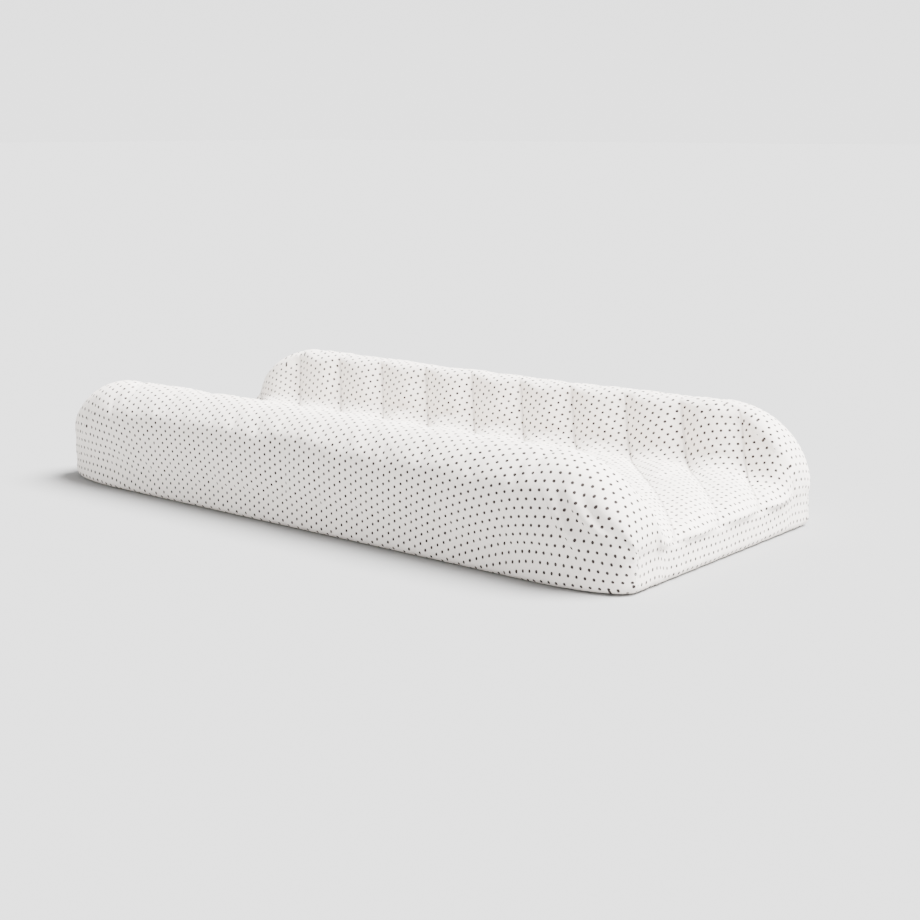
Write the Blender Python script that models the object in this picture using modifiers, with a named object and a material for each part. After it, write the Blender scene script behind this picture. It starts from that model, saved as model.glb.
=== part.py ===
"""A contoured baby changing pad in its fitted cotton cover, made as separate parts.

A foam block with a raised bolster along each long side sits in a quilted waterproof
cover, which closes with a zipper on the underside. A waist belt is sewn across the
valley, and a fitted cotton cover is pulled over everything.

Metres. +X runs along the pad to its foot end, +Y to its back long side, +Z up.
The origin is on the surface that the pad stands on, under its middle.
"""

import bmesh
import bpy
from math import cos, radians, sin, tan
from mathutils import Matrix, Vector

# ---------------------------------------------------------------- driving dimensions
PAD_LENGTH = 0.813
PAD_WIDTH = 0.390
PAD_HEIGHT = 0.125

# cross-section of the pad, over the cover
SHOULDER_RADIUS = 0.037     # outer top edge of a bolster
CREST_FLAT = 0.004          # level top of a bolster
CREST_RADIUS = 0.018        # inner top edge of a bolster
WALL_SLOPE = 66.0           # degrees, inner face of a bolster above the level
FOOT_RADIUS = 0.028         # hollow where the inner face meets the valley
COVER_FLOOR = 0.060         # height of the cover in the valley
QUILT_FLOOR = 0.0475        # height of the quilted pad in the valley, under the belt

# rounding of the two ends
END_REACH = 0.094           # length over which an end rounds off
END_KEEP = 0.036            # below this height an end stays upright
END_DROP = 0.95             # share of the height above END_KEEP that an end loses
CORNER_INSET = 0.031        # how far a corner draws in at the very end
CORNER_START = 0.115        # distance from the middle where the drawing in starts
END_STEPS = 6

# layers, each as its distance in from the outside of the cover
COVER_THICKNESS = 0.0012
QUILT_OUTSIDE = 0.0038
QUILT_INSIDE = 0.0058
FOAM_OUTSIDE = 0.0078
PIPING_LINE = 0.0058
BASE_EDGE = 0.0086
HEM_WIDTH = 0.0350
ELASTIC_WIDTH = 0.0060

# heights of the layers under the pad
GAP = 0.0003
HEM_THICKNESS = 0.0012
COVER_BASE = HEM_THICKNESS + GAP
GRIP_THICKNESS = 0.0021
BASE_BOTTOM = GRIP_THICKNESS + GAP
BASE_THICKNESS = 0.0016
BASE_TOP = BASE_BOTTOM + BASE_THICKNESS
PIPING_RADIUS = 0.0020
PIPING_HEIGHT = 0.0050
QUILT_BASE = 0.0075
FOAM_BASE = 0.0085

# grip strips, anchor tabs and label on the underside
GRIP_SIZE = (0.620, 0.045)
GRIP_LINES = (-0.045, 0.030, 0.105)
ANCHOR_X = 0.345
ANCHOR_SIZE = (0.025, 0.060, 0.0008)
ANCHOR_HEIGHT = 0.0012
EYELET_BORE = 0.0025
EYELET_BARREL = 0.0038
EYELET_FLANGE = 0.0056
LABEL_CENTRE = (-0.3465, 0.0900, 0.0006)
LABEL_SIZE = (0.0270, 0.0400, 0.0004)

# zipper, along X on the underside
ZIP_Y = -0.100
ZIP_HALF = 0.300            # half the length of its tapes
ZIP_COIL_HALF = 0.270       # half the length of its coils
ZIP_SLOT = (0.592, 0.023)   # opening in the base panel
TAPE_INNER = 0.0032
TAPE_OUTER = 0.0160
TAPE_HEIGHT = 0.00465
TAPE_THICKNESS = 0.0007
COIL_HEIGHT = 0.0050
COIL_SIZE = (0.0027, 0.0026)
SLIDER_X = 0.277
SLIDER_SIZE = (0.0140, 0.0090)
SLIDER_PLATE = 0.0017
SLIDER_LOW = 0.00245        # middle of its lower plate
SLIDER_HIGH = 0.00755       # middle of its upper plate
SLIDER_WEDGE = (0.0050, 0.0030)
SLIDER_CHEEK = (0.0040, 0.0012, 0.0018)
CHEEK_Y = 0.0032            # middle of a cheek, beside the pull
CHEEK_HEIGHT = 0.0014
TOP_STOP = (0.0030, 0.0030, 0.0012)
BOTTOM_STOP = (0.0040, 0.0090, 0.0012)
STOP_HEIGHT = 0.0034
PULL_SIZE = (0.0240, 0.0046, 0.0009)
PULL_AXIS_X = SLIDER_X + 0.0035
PULL_PAST_AXIS = 0.0005     # short enough to swing clear of the slider's plate
PULL_HEIGHT = 0.0009
ZIP_RECESS = (0.610, 0.040, 0.0054)

# waist belt, across the valley
BELT_X = 0.020
WEB_WIDTH = 0.025
WEB_THICKNESS = 0.0014
PATCH_SIZE = (0.040, 0.036, 0.0006)
PATCH_Y = 0.070
BUCKLE_Z = 0.0533
BUCKLE_THICKNESS = 0.0090
SOCKET_SPAN = (-0.032, 0.006)
SOCKET_WIDTH = 0.033
PLUG_SPAN = (0.0075, 0.0260)
PLUG_WIDTH = 0.031
BAR_DEPTH = 0.0042          # bar that the webbing turns round
BAR_THICKNESS = 0.0040
SLOT_DEPTH = 0.0063
CAVITY_SIZE = (0.0274, 0.0150, 0.0058)      # inside the socket, from its mouth
WINDOW_DEPTH = 0.0100       # side windows that the arms snap into
WINDOW_Y = -0.0075
TONGUE_SIZE = (0.0050, 0.0230, 0.0040)
ARM_X = 0.0100
ARM_SIZE = (0.0030, 0.0175, 0.0046)
ARM_HEAD = (0.0034, 0.0060)
ARM_HEAD_X = 0.0016         # how far its head stands out from an arm
ARM_CLEARANCE = 0.0005      # between an arm and the plug that it turns on
TAIL_END = 0.078

COLLECTION = "changing_pad"


# ---------------------------------------------------------------- scene and materials
def clear_scene():
    for obj in list(bpy.data.objects):
        bpy.data.objects.remove(obj, do_unlink=True)


def new_collection(name):
    collection = bpy.data.collections.new(name)
    bpy.context.scene.collection.children.link(collection)
    return collection


def new_material(name, colour, roughness, metallic=0.0):
    material = bpy.data.materials.new(name)
    material.use_nodes = True
    shader = material.node_tree.nodes["Principled BSDF"]
    shader.inputs["Base Color"].default_value = (*colour, 1.0)
    shader.inputs["Roughness"].default_value = roughness
    shader.inputs["Metallic"].default_value = metallic
    return material


def add_part(name, data, material):
    """Put a mesh or curve in the pad's collection as one named part."""
    obj = bpy.data.objects.new(name, data)
    data.materials.append(material)
    PARTS.objects.link(obj)
    return obj


def add_cutter(name, data):
    obj = bpy.data.objects.new(name, data)
    obj.hide_render = True
    obj.display_type = "WIRE"
    CUTTERS.objects.link(obj)
    return obj


def join_shape(obj, other, operation):
    """Boolean with a helper shape, by the exact solver."""
    modifier = obj.modifiers.new(operation.title(), "BOOLEAN")
    modifier.operation = operation
    modifier.solver = "EXACT"
    modifier.object = other


def round_edges(obj, width, segments=2):
    modifier = obj.modifiers.new("Round", "BEVEL")
    modifier.width = width
    modifier.segments = segments
    modifier.limit_method = "ANGLE"


# ---------------------------------------------------------------- basic shapes
def mesh_from(bm, name):
    mesh = bpy.data.meshes.new(name)
    bm.to_mesh(mesh)
    bm.free()
    return mesh


def box_mesh(name, size):
    bm = bmesh.new()
    bmesh.ops.create_cube(bm, size=1.0, matrix=Matrix.Diagonal((*size, 1.0)))
    return mesh_from(bm, name)


def box(name, size, centre, material):
    obj = add_part(name, box_mesh(name, size), material)
    obj.location = centre
    return obj


def box_cutter(name, size, centre):
    obj = add_cutter(name, box_mesh(name, size))
    obj.location = centre
    return obj


def flat_plate(name, outlines, low, high, material):
    """A level plate between two heights; a second outline is a hole in it."""
    curve = bpy.data.curves.new(name, "CURVE")
    curve.dimensions = "2D"
    curve.fill_mode = "BOTH"
    curve.extrude = (high - low) / 2
    for outline in outlines:
        spline = curve.splines.new("POLY")
        spline.points.add(len(outline) - 1)
        for point, (x, y) in zip(spline.points, outline):
            point.co = (x, y, 0.0, 1.0)
        spline.use_cyclic_u = True
    obj = add_part(name, curve, material)
    obj.location.z = (low + high) / 2
    return obj


def rectangle(length, width, centre_y=0.0):
    return [(sx * length / 2, centre_y + sy * width / 2)
            for sx, sy in ((1, 1), (-1, 1), (-1, -1), (1, -1))]


def arc(centre, radius, start, end, steps):
    """Points after the first on an arc, with angles in degrees."""
    angles = [radians(start + (end - start) * k / steps) for k in range(1, steps + 1)]
    return [(centre[0] + radius * cos(a), centre[1] + radius * sin(a)) for a in angles]


# ---------------------------------------------------------------- the pad's form
def end_stations(inset):
    """(x, fall) along the pad; fall goes from 0 on the straight to 1 at an end."""
    half_length = PAD_LENGTH / 2 - inset
    turns = [radians(90.0 * k / END_STEPS) for k in range(END_STEPS + 1)]
    foot_end = [(half_length - END_REACH * (1 - sin(t)), 1 - cos(t)) for t in turns]
    head_end = [(-x, fall) for x, fall in reversed(foot_end)]
    return head_end + [(0.0, 0.0)] + foot_end


def drawn_in(y, side, fall):
    """Where a point goes as the outer corners of the pad draw in towards an end."""
    share = max(0.0, (abs(y) - CORNER_START) / (side - CORNER_START))
    shift = share * fall * CORNER_INSET
    return y - shift if y > 0 else y + shift


def plan_outline(inset):
    """The pad's outline seen from above, as a closed loop."""
    side = PAD_WIDTH / 2 - inset
    back = [(x, drawn_in(side, side, fall)) for x, fall in end_stations(inset)]
    front = [(x, -y) for x, y in reversed(back)]
    return back + front


def half_section(inset, floor, base):
    """Half of a cross-section, from its lower outer corner to the middle of the valley."""
    side = PAD_WIDTH / 2 - inset
    shoulder = (PAD_WIDTH / 2 - SHOULDER_RADIUS, PAD_HEIGHT - SHOULDER_RADIUS)
    crest = (shoulder[0] - CREST_FLAT, PAD_HEIGHT - CREST_RADIUS)
    slope = radians(WALL_SLOPE)
    points = [(side, base), (side, shoulder[1])]
    points += arc(shoulder, SHOULDER_RADIUS - inset, 0, 90, 5)
    points += [(crest[0], PAD_HEIGHT - inset)]
    points += arc(crest, CREST_RADIUS - inset, 90, 90 + WALL_SLOPE, 4)
    wall_y, wall_z = points[-1]
    foot_z = floor + FOOT_RADIUS * (1 - cos(slope))
    foot_y = wall_y - (wall_z - foot_z) / tan(slope)
    centre = (foot_y - FOOT_RADIUS * sin(slope), floor + FOOT_RADIUS)
    points += [(foot_y, foot_z)]
    points += arc(centre, FOOT_RADIUS, WALL_SLOPE - 90, -90, 4)
    points += [(0.0, floor)]
    return points


def pad_form(name, inset, floor, base):
    """The whole contoured form as a loft along X, closed at both ends and below.

    Every form is split into triangles the same way, so nested ones stay apart.
    """
    half = half_section(inset, floor, base)
    section = half + [(-y, z) for y, z in reversed(half[:-1])]
    side = PAD_WIDTH / 2 - inset
    bm = bmesh.new()
    rings = []
    for x, fall in end_stations(inset):
        ring = []
        for y, z in section:
            lost = max(0.0, z - END_KEEP) * END_DROP * fall
            ring.append(bm.verts.new((x, drawn_in(y, side, fall), z - lost)))
        rings.append(ring)
    for ring, following in zip(rings, rings[1:]):
        for k in range(len(ring)):
            after = (k + 1) % len(ring)
            bm.faces.new((ring[k], ring[after], following[after], following[k]))
    bmesh.ops.triangulate(bm, faces=bm.faces, quad_method="FIXED")
    bm.faces.new(rings[0])
    bm.faces.new(rings[-1])
    bmesh.ops.recalc_face_normals(bm, faces=bm.faces)
    return mesh_from(bm, name)


def pad_shell(name, outside, inside, outer_floor, inner_floor, base, material):
    """A shell with the pad's form, open below."""
    shell = add_part(name, pad_form(name, outside, outer_floor, base), material)
    room = add_cutter(name + "_room", pad_form(name + "_room", inside, inner_floor, base - 0.010))
    join_shape(shell, room, "DIFFERENCE")
    return shell


# ---------------------------------------------------------------- foam pad and its cover
def make_foam_core(material):
    floor = QUILT_FLOOR - (FOAM_OUTSIDE - QUILT_OUTSIDE)
    foam = add_part("foam_core", pad_form("foam_core", FOAM_OUTSIDE, floor, FOAM_BASE), material)
    recess = box_cutter("zipper_recess", ZIP_RECESS, (0, ZIP_Y, FOAM_BASE))
    join_shape(foam, recess, "DIFFERENCE")


def make_quilted_cover(vinyl, piping, grip):
    pad_shell("quilted_top", QUILT_OUTSIDE, QUILT_INSIDE, QUILT_FLOOR,
              QUILT_FLOOR - (QUILT_INSIDE - QUILT_OUTSIDE), QUILT_BASE, vinyl)
    slot = rectangle(*ZIP_SLOT, ZIP_Y)
    flat_plate("base_panel", [plan_outline(BASE_EDGE), slot], BASE_BOTTOM, BASE_TOP, vinyl)
    make_edge_piping(piping)
    for number, y in enumerate(GRIP_LINES, start=1):
        strip = box(f"grip_strip_{number}", (*GRIP_SIZE, GRIP_THICKNESS),
                    (0, y, GRIP_THICKNESS / 2), grip)
        round_edges(strip, 0.0008, 1)


def make_edge_piping(material):
    outline = plan_outline(PIPING_LINE)
    curve = bpy.data.curves.new("edge_piping", "CURVE")
    curve.dimensions = "3D"
    curve.bevel_depth = PIPING_RADIUS
    curve.bevel_resolution = 2
    spline = curve.splines.new("POLY")
    spline.points.add(len(outline) - 1)
    for point, (x, y) in zip(spline.points, outline):
        point.co = (x, y, 0.0, 1.0)
    spline.use_cyclic_u = True
    obj = add_part("edge_piping", curve, material)
    obj.location.z = PIPING_HEIGHT


# ---------------------------------------------------------------- underside fittings
def make_anchor_tabs(webbing, metal):
    """Webbing tabs with eyelets, by which the pad is screwed down to furniture."""
    for side, name in ((-1, "head"), (1, "foot")):
        centre = (side * ANCHOR_X, 0, ANCHOR_HEIGHT)
        tab = box(f"anchor_tab_{name}", ANCHOR_SIZE, centre, webbing)
        bm = bmesh.new()
        bmesh.ops.create_cone(bm, cap_ends=True, segments=24, radius1=EYELET_BARREL + GAP,
                              radius2=EYELET_BARREL + GAP, depth=0.01)
        hole = add_cutter(f"eyelet_hole_{name}", mesh_from(bm, "eyelet_hole"))
        hole.location = centre
        join_shape(tab, hole, "DIFFERENCE")
        make_eyelet(f"anchor_eyelet_{name}", centre, metal)


def make_eyelet(name, centre, material):
    """A turned ring whose two flanges hold the webbing between them."""
    inner = ANCHOR_SIZE[2] / 2 + GAP
    outer_low = ANCHOR_HEIGHT - 0.0001
    outer_high = GRIP_THICKNESS - ANCHOR_HEIGHT
    profile = [(EYELET_BORE, outer_high), (EYELET_FLANGE, outer_high), (EYELET_FLANGE, inner),
               (EYELET_BARREL, inner), (EYELET_BARREL, -inner), (EYELET_FLANGE, -inner),
               (EYELET_FLANGE, -outer_low), (EYELET_BORE, -outer_low)]
    bm = bmesh.new()
    verts = [bm.verts.new((r, 0, z)) for r, z in profile]
    for k in range(len(verts)):
        bm.edges.new((verts[k], verts[(k + 1) % len(verts)]))
    eyelet = add_part(name, mesh_from(bm, name), material)
    eyelet.location = centre
    turn = eyelet.modifiers.new("Turn", "SCREW")
    turn.steps = 24
    turn.render_steps = 24
    turn.use_merge_vertices = True
    turn.merge_threshold = 0.0001


def make_zipper(tape, coil, metal):
    """Two tapes with their coils, the stops, and the slider with its hinged pull."""
    tape_width = TAPE_OUTER - TAPE_INNER
    for side, name in ((-1, "front"), (1, "back")):
        tape_y = ZIP_Y + side * (TAPE_INNER + TAPE_OUTER) / 2
        box(f"zipper_tape_{name}", (2 * ZIP_HALF, tape_width, TAPE_THICKNESS),
            (0, tape_y, TAPE_HEIGHT), tape)
        coil_y = ZIP_Y + side * (GAP / 2 + COIL_SIZE[0] / 2)
        box(f"zipper_coil_{name}", (2 * ZIP_COIL_HALF, *COIL_SIZE), (0, coil_y, COIL_HEIGHT), coil)
        top_stop = box(f"zipper_top_stop_{name}", TOP_STOP,
                       (SLIDER_X + 0.0115, ZIP_Y + side * 0.0048, STOP_HEIGHT), metal)
        round_edges(top_stop, 0.0003, 1)
    bottom_stop = box("zipper_bottom_stop", BOTTOM_STOP,
                      (-ZIP_COIL_HALF - 0.006, ZIP_Y, STOP_HEIGHT), metal)
    round_edges(bottom_stop, 0.0003, 1)
    make_zipper_slider(metal)
    make_zipper_pull(metal)


def make_zipper_slider(material):
    """Two plates joined by a wedge ahead of the coils, with a bridge for the pull."""
    slider = box("zipper_slider", (*SLIDER_SIZE, SLIDER_PLATE),
                 (SLIDER_X, ZIP_Y, SLIDER_LOW), material)
    upper = box_cutter("slider_upper_plate", (*SLIDER_SIZE, SLIDER_PLATE),
                       (SLIDER_X, ZIP_Y, SLIDER_HIGH))
    wedge = box_cutter("slider_wedge", (*SLIDER_WEDGE, SLIDER_HIGH - SLIDER_LOW),
                       (SLIDER_X + 0.0040, ZIP_Y, (SLIDER_HIGH + SLIDER_LOW) / 2))
    join_shape(slider, wedge, "UNION")
    join_shape(slider, upper, "UNION")
    for side in (-1, 1):
        cheek = box_cutter(f"slider_cheek_{side}", SLIDER_CHEEK,
                           (PULL_AXIS_X, ZIP_Y + side * CHEEK_Y, CHEEK_HEIGHT))
        join_shape(slider, cheek, "UNION")


def make_zipper_pull(material):
    """A flat tab that turns about the axis between the slider's two cheeks."""
    pull = box("zipper_pull", PULL_SIZE, (PULL_AXIS_X, ZIP_Y, PULL_HEIGHT), material)
    pull.data.transform(Matrix.Translation(Vector((PULL_PAST_AXIS - PULL_SIZE[0] / 2, 0, 0))))
    round_edges(pull, 0.0003, 1)


# ---------------------------------------------------------------- waist belt
def make_belt(webbing, patch, plastic):
    for side, name in ((-1, "front"), (1, "back")):
        box(f"belt_patch_{name}", PATCH_SIZE,
            (BELT_X, side * PATCH_Y, QUILT_FLOOR + GAP + PATCH_SIZE[2] / 2), patch)
    make_buckle_socket(plastic)
    make_buckle_plug(plastic)
    make_belt_strap("belt_strap_front", -1, SOCKET_SPAN[0], 0.030, webbing)
    make_belt_strap("belt_strap_back", 1, PLUG_SPAN[1], TAIL_END - PLUG_SPAN[1], webbing)


def make_belt_strap(name, side, bar_outside, tail, material):
    """Webbing from its patch, round the buckle's bar and back along itself."""
    turn = BAR_THICKNESS / 2 + GAP + WEB_THICKNESS / 2
    low = BUCKLE_Z - turn
    lying = low + WEB_THICKNESS + GAP
    bar_inside = abs(bar_outside) - BAR_DEPTH
    corner = GAP + WEB_THICKNESS / 2
    path = [(PATCH_Y + 0.012, low), (bar_inside, low)]
    path += arc((bar_inside, BUCKLE_Z - BAR_THICKNESS / 2), corner, 270, 180, 3)
    path += [(bar_inside - corner, BUCKLE_Z + BAR_THICKNESS / 2)]
    path += arc((bar_inside, BUCKLE_Z + BAR_THICKNESS / 2), corner, 180, 90, 3)
    path += [(abs(bar_outside) + 0.002, BUCKLE_Z + turn)]
    path += [(abs(bar_outside) + 0.013, lying), (abs(bar_outside) + tail, lying)]
    bm = bmesh.new()
    line = [bm.verts.new((-WEB_WIDTH / 2, side * y, z)) for y, z in path]
    edges = [bm.edges.new(pair) for pair in zip(line, line[1:])]
    band = bmesh.ops.extrude_edge_only(bm, edges=edges)["geom"]
    moved = [item for item in band if isinstance(item, bmesh.types.BMVert)]
    bmesh.ops.translate(bm, verts=moved, vec=(WEB_WIDTH, 0, 0))
    strap = add_part(name, mesh_from(bm, name), material)
    strap.location.x = BELT_X
    thickness = strap.modifiers.new("Thickness", "SOLIDIFY")
    thickness.thickness = WEB_THICKNESS
    thickness.offset = 0.0
    thickness.use_even_offset = True


def open_bar(part, name, outside, side):
    """Cut the slot, and the room over and under the bar, that the webbing turns through."""
    width = WEB_WIDTH + 0.0014
    slot_y = outside - side * (BAR_DEPTH + SLOT_DEPTH / 2)
    slot = box_cutter(name + "_slot", (width, SLOT_DEPTH, 0.02), (BELT_X, slot_y, BUCKLE_Z))
    join_shape(part, slot, "DIFFERENCE")
    for level in (-1, 1):
        room = box_cutter(f"{name}_room_{level}", (width, 0.010, 0.006),
                          (BELT_X, outside, BUCKLE_Z + level * (BAR_THICKNESS / 2 + 0.003)))
        join_shape(part, room, "DIFFERENCE")


def make_buckle_socket(material):
    near, far = SOCKET_SPAN
    socket = box("buckle_socket", (SOCKET_WIDTH, far - near, BUCKLE_THICKNESS),
                 (BELT_X, (near + far) / 2, BUCKLE_Z), material)
    round_edges(socket, 0.0012)
    width, depth, height = CAVITY_SIZE
    cavity = box_cutter("socket_cavity", (width, 2 * depth, height),
                        (BELT_X, far + 0.0055 - depth, BUCKLE_Z))
    windows = box_cutter("socket_windows", (1.5 * SOCKET_WIDTH, WINDOW_DEPTH, height),
                         (BELT_X, WINDOW_Y, BUCKLE_Z))
    join_shape(socket, cavity, "DIFFERENCE")
    join_shape(socket, windows, "DIFFERENCE")
    open_bar(socket, "socket", near, -1)


def make_buckle_plug(material):
    """The plug with its guide tongue, and its two sprung arms as pieces that turn."""
    near, far = PLUG_SPAN
    plug = box("buckle_plug", (PLUG_WIDTH, far - near, BUCKLE_THICKNESS),
               (BELT_X, (near + far) / 2, BUCKLE_Z), material)
    round_edges(plug, 0.0012)
    tongue_width, tongue_length, tongue_height = TONGUE_SIZE
    tongue = box_cutter("plug_tongue", (tongue_width, tongue_length + 0.0010, tongue_height),
                        (BELT_X, near + (0.0010 - tongue_length) / 2, BUCKLE_Z))
    join_shape(plug, tongue, "UNION")
    open_bar(plug, "plug", far, 1)
    for side, name in ((-1, "left"), (1, "right")):
        arm_x = BELT_X + side * ARM_X
        arm_start = near - ARM_CLEARANCE
        arm = box(f"buckle_arm_{name}", ARM_SIZE, (arm_x, arm_start, BUCKLE_Z), material)
        arm.data.transform(Matrix.Translation(Vector((0, -ARM_SIZE[1] / 2, 0))))
        head_y = arm_start - ARM_SIZE[1] + ARM_HEAD[1] / 2
        head = box_cutter(f"arm_head_{name}", (*ARM_HEAD, ARM_SIZE[2]),
                          (arm_x + side * ARM_HEAD_X, head_y, BUCKLE_Z))
        join_shape(arm, head, "UNION")


# ---------------------------------------------------------------- fitted cover
def make_fitted_cover(cotton, elastic, label):
    """The cotton cover, its tucked-under hem, the elastic at the hem's edge and a label."""
    pad_shell("fitted_cover", 0.0, COVER_THICKNESS, COVER_FLOOR, COVER_FLOOR - COVER_THICKNESS,
              COVER_BASE, cotton)
    flat_plate("cover_hem", [plan_outline(0.0), plan_outline(HEM_WIDTH)], 0.0, HEM_THICKNESS, cotton)
    elastic_edge = HEM_WIDTH + GAP
    flat_plate("hem_elastic", [plan_outline(elastic_edge), plan_outline(elastic_edge + ELASTIC_WIDTH)],
               0.0, HEM_THICKNESS, elastic)
    box("care_label", LABEL_SIZE, LABEL_CENTRE, label)


clear_scene()
PARTS = new_collection(COLLECTION)
CUTTERS = new_collection("cutters")

COTTON = new_material("cotton_print", (0.86, 0.84, 0.82), 0.90)
VINYL = new_material("quilted_vinyl", (0.84, 0.85, 0.85), 0.45)
FOAM = new_material("foam", (0.85, 0.80, 0.62), 0.95)
PIPING = new_material("piping", (0.80, 0.81, 0.82), 0.50)
GRIP = new_material("grip_rubber", (0.42, 0.43, 0.45), 0.70)
WEBBING = new_material("webbing", (0.78, 0.78, 0.77), 0.80)
PLASTIC = new_material("buckle_plastic", (0.82, 0.82, 0.81), 0.35)
METAL = new_material("plated_metal", (0.60, 0.60, 0.60), 0.30, 1.0)
ELASTIC = new_material("elastic", (0.80, 0.79, 0.77), 0.85)
LABEL = new_material("label", (0.90, 0.90, 0.90), 0.70)

make_foam_core(FOAM)
make_quilted_cover(VINYL, PIPING, GRIP)
make_anchor_tabs(WEBBING, METAL)
make_zipper(ELASTIC, PLASTIC, METAL)
make_belt(WEBBING, VINYL, PLASTIC)
make_fitted_cover(COTTON, ELASTIC, LABEL)
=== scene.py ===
# %% [markdown]
# # A contoured changing pad in its dotted cotton cover
# The pad is a foam block with a raised bolster along each long side. It wears a quilted
# waterproof cover, and over that a fitted cotton cover with an elastic hem. The frame that
# is loaded first holds every hard piece at its true place, and the body that it moves with.
# This script makes the soft pieces and the finishes around it.

# %% Load the frame
import bmesh
import bpy
import numpy as np
from math import cos, pi, radians, sin, tan
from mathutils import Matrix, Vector, noise
from mathutils.bvhtree import BVHTree


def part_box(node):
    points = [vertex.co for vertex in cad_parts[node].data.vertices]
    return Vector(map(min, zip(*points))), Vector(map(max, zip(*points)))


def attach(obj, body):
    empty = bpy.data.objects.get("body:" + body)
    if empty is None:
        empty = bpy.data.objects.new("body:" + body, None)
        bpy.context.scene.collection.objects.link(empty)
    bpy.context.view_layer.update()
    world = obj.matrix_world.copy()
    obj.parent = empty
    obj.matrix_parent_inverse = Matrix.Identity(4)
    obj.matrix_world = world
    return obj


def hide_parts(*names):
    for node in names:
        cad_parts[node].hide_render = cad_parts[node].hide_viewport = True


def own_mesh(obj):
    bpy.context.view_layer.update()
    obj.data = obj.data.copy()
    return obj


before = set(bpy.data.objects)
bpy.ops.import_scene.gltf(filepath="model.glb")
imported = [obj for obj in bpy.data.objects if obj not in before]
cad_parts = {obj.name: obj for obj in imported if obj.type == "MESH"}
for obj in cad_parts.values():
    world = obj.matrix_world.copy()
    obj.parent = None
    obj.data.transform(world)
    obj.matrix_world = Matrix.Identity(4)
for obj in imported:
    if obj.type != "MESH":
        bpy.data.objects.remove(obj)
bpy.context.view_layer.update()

for leftover in ("Cube", "Light", "Camera"):
    if leftover in bpy.data.objects:
        bpy.data.objects.remove(bpy.data.objects[leftover], do_unlink=True)

# %% [markdown]
# ## The form that all the layers share
# A changing pad is one profile carried along its length, which rounds off at both ends.
# Modelling it by hand would make each layer drift away from the next. A rule is safer: the
# profile is a chain of straight lines and arcs, and a layer is the same chain drawn a few
# millimetres further in. The lengths that the frame already knows are read from it.

# %% Driving sizes
cover_low, cover_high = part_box("fitted_cover")
PAD_LENGTH = cover_high.x - cover_low.x
PAD_WIDTH = cover_high.y - cover_low.y
PAD_HEIGHT = cover_high.z
SHOULDER_RADIUS = 0.037     # outer top edge of a bolster
CREST_FLAT = 0.004          # level top of a bolster
CREST_RADIUS = 0.018        # inner top edge of a bolster
WALL_SLOPE = 66.0           # degrees, inner face of a bolster above the level
FOOT_RADIUS = 0.028         # hollow where the inner face meets the valley
COVER_FLOOR = 0.060         # height of the cover in the valley
QUILT_FLOOR = 0.0475        # height of the quilted pad in the valley, under the belt
END_REACH = 0.094           # length over which an end rounds off
END_KEEP = 0.036            # below this height an end stays upright
END_DROP = 0.95             # share of the height above END_KEEP that an end loses
CORNER_INSET = 0.031        # how far a corner draws in at the very end
CORNER_START = 0.115        # distance from the middle where the drawing in starts
BACK_RISE = 0.012           # share by which the back bolster stands higher, and the front lower
print(f"pad {PAD_LENGTH:.3f} x {PAD_WIDTH:.3f} x {PAD_HEIGHT:.3f} m")


# %% The profile, as points a millimetre apart
def arc(centre, radius, start, end):
    turns = np.radians(np.linspace(start, end, 24))
    return np.stack([centre[0] + radius * np.cos(turns), centre[1] + radius * np.sin(turns)], 1)


def half_profile(inset, floor):
    """(y, z) from the side at END_KEEP up over a bolster and down to the middle of the valley."""
    side = PAD_WIDTH / 2 - inset
    shoulder = (PAD_WIDTH / 2 - SHOULDER_RADIUS, PAD_HEIGHT - SHOULDER_RADIUS)
    crest = (shoulder[0] - CREST_FLAT, PAD_HEIGHT - CREST_RADIUS)
    over = arc(crest, CREST_RADIUS - inset, 90, 90 + WALL_SLOPE)
    slope = radians(WALL_SLOPE)
    foot_z = floor + FOOT_RADIUS * (1 - cos(slope))
    foot_y = over[-1][0] - (over[-1][1] - foot_z) / tan(slope)
    hollow = (foot_y - FOOT_RADIUS * sin(slope), floor + FOOT_RADIUS)
    outer = np.vstack([[(side, END_KEEP)], arc(shoulder, SHOULDER_RADIUS - inset, 0, 90)])
    inner = np.vstack([over, arc(hollow, FOOT_RADIUS, WALL_SLOPE - 90, -90), [(0.0, floor)]])
    return outer, inner


def spaced(points, count):
    """The same line with its points at equal distances."""
    steps = np.linalg.norm(np.diff(points, axis=0), axis=1)
    along = np.concatenate([[0.0], np.cumsum(steps)])
    wanted = np.linspace(0.0, along[-1], count + 1)
    return np.stack([np.interp(wanted, along, points[:, k]) for k in range(2)], 1)


def full_profile(inset, floor, outer_rows, inner_rows):
    outer, inner = half_profile(inset, floor)
    outer = np.vstack([outer, inner[:1]])
    half = np.vstack([spaced(outer, outer_rows)[:-1], spaced(inner, inner_rows)])
    mirrored = half[::-1][1:] * [-1, 1]
    return np.vstack([half, mirrored])


profile = full_profile(0.0, COVER_FLOOR, 24, 54)
print("profile points:", len(profile), "girth over the top:",
      round(float(np.linalg.norm(np.diff(profile, axis=0), axis=1).sum()), 3), "m")


# %% Stations along the pad
def stations(straight_columns, end_columns):
    """(x without inset, fall) for each column; fall is 0 on the straight and 1 at an end."""
    turns = np.radians(np.linspace(0.0, 90.0, end_columns + 1))
    reach = PAD_LENGTH / 2 - END_REACH * (1 - np.sin(turns))
    fall = 1 - np.cos(turns)
    middle = np.linspace(-reach[0], reach[0], straight_columns + 1)[1:-1]
    x = np.concatenate([-reach[::-1], middle, reach])
    return x, np.concatenate([fall[::-1], np.zeros(len(middle)), fall])


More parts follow.
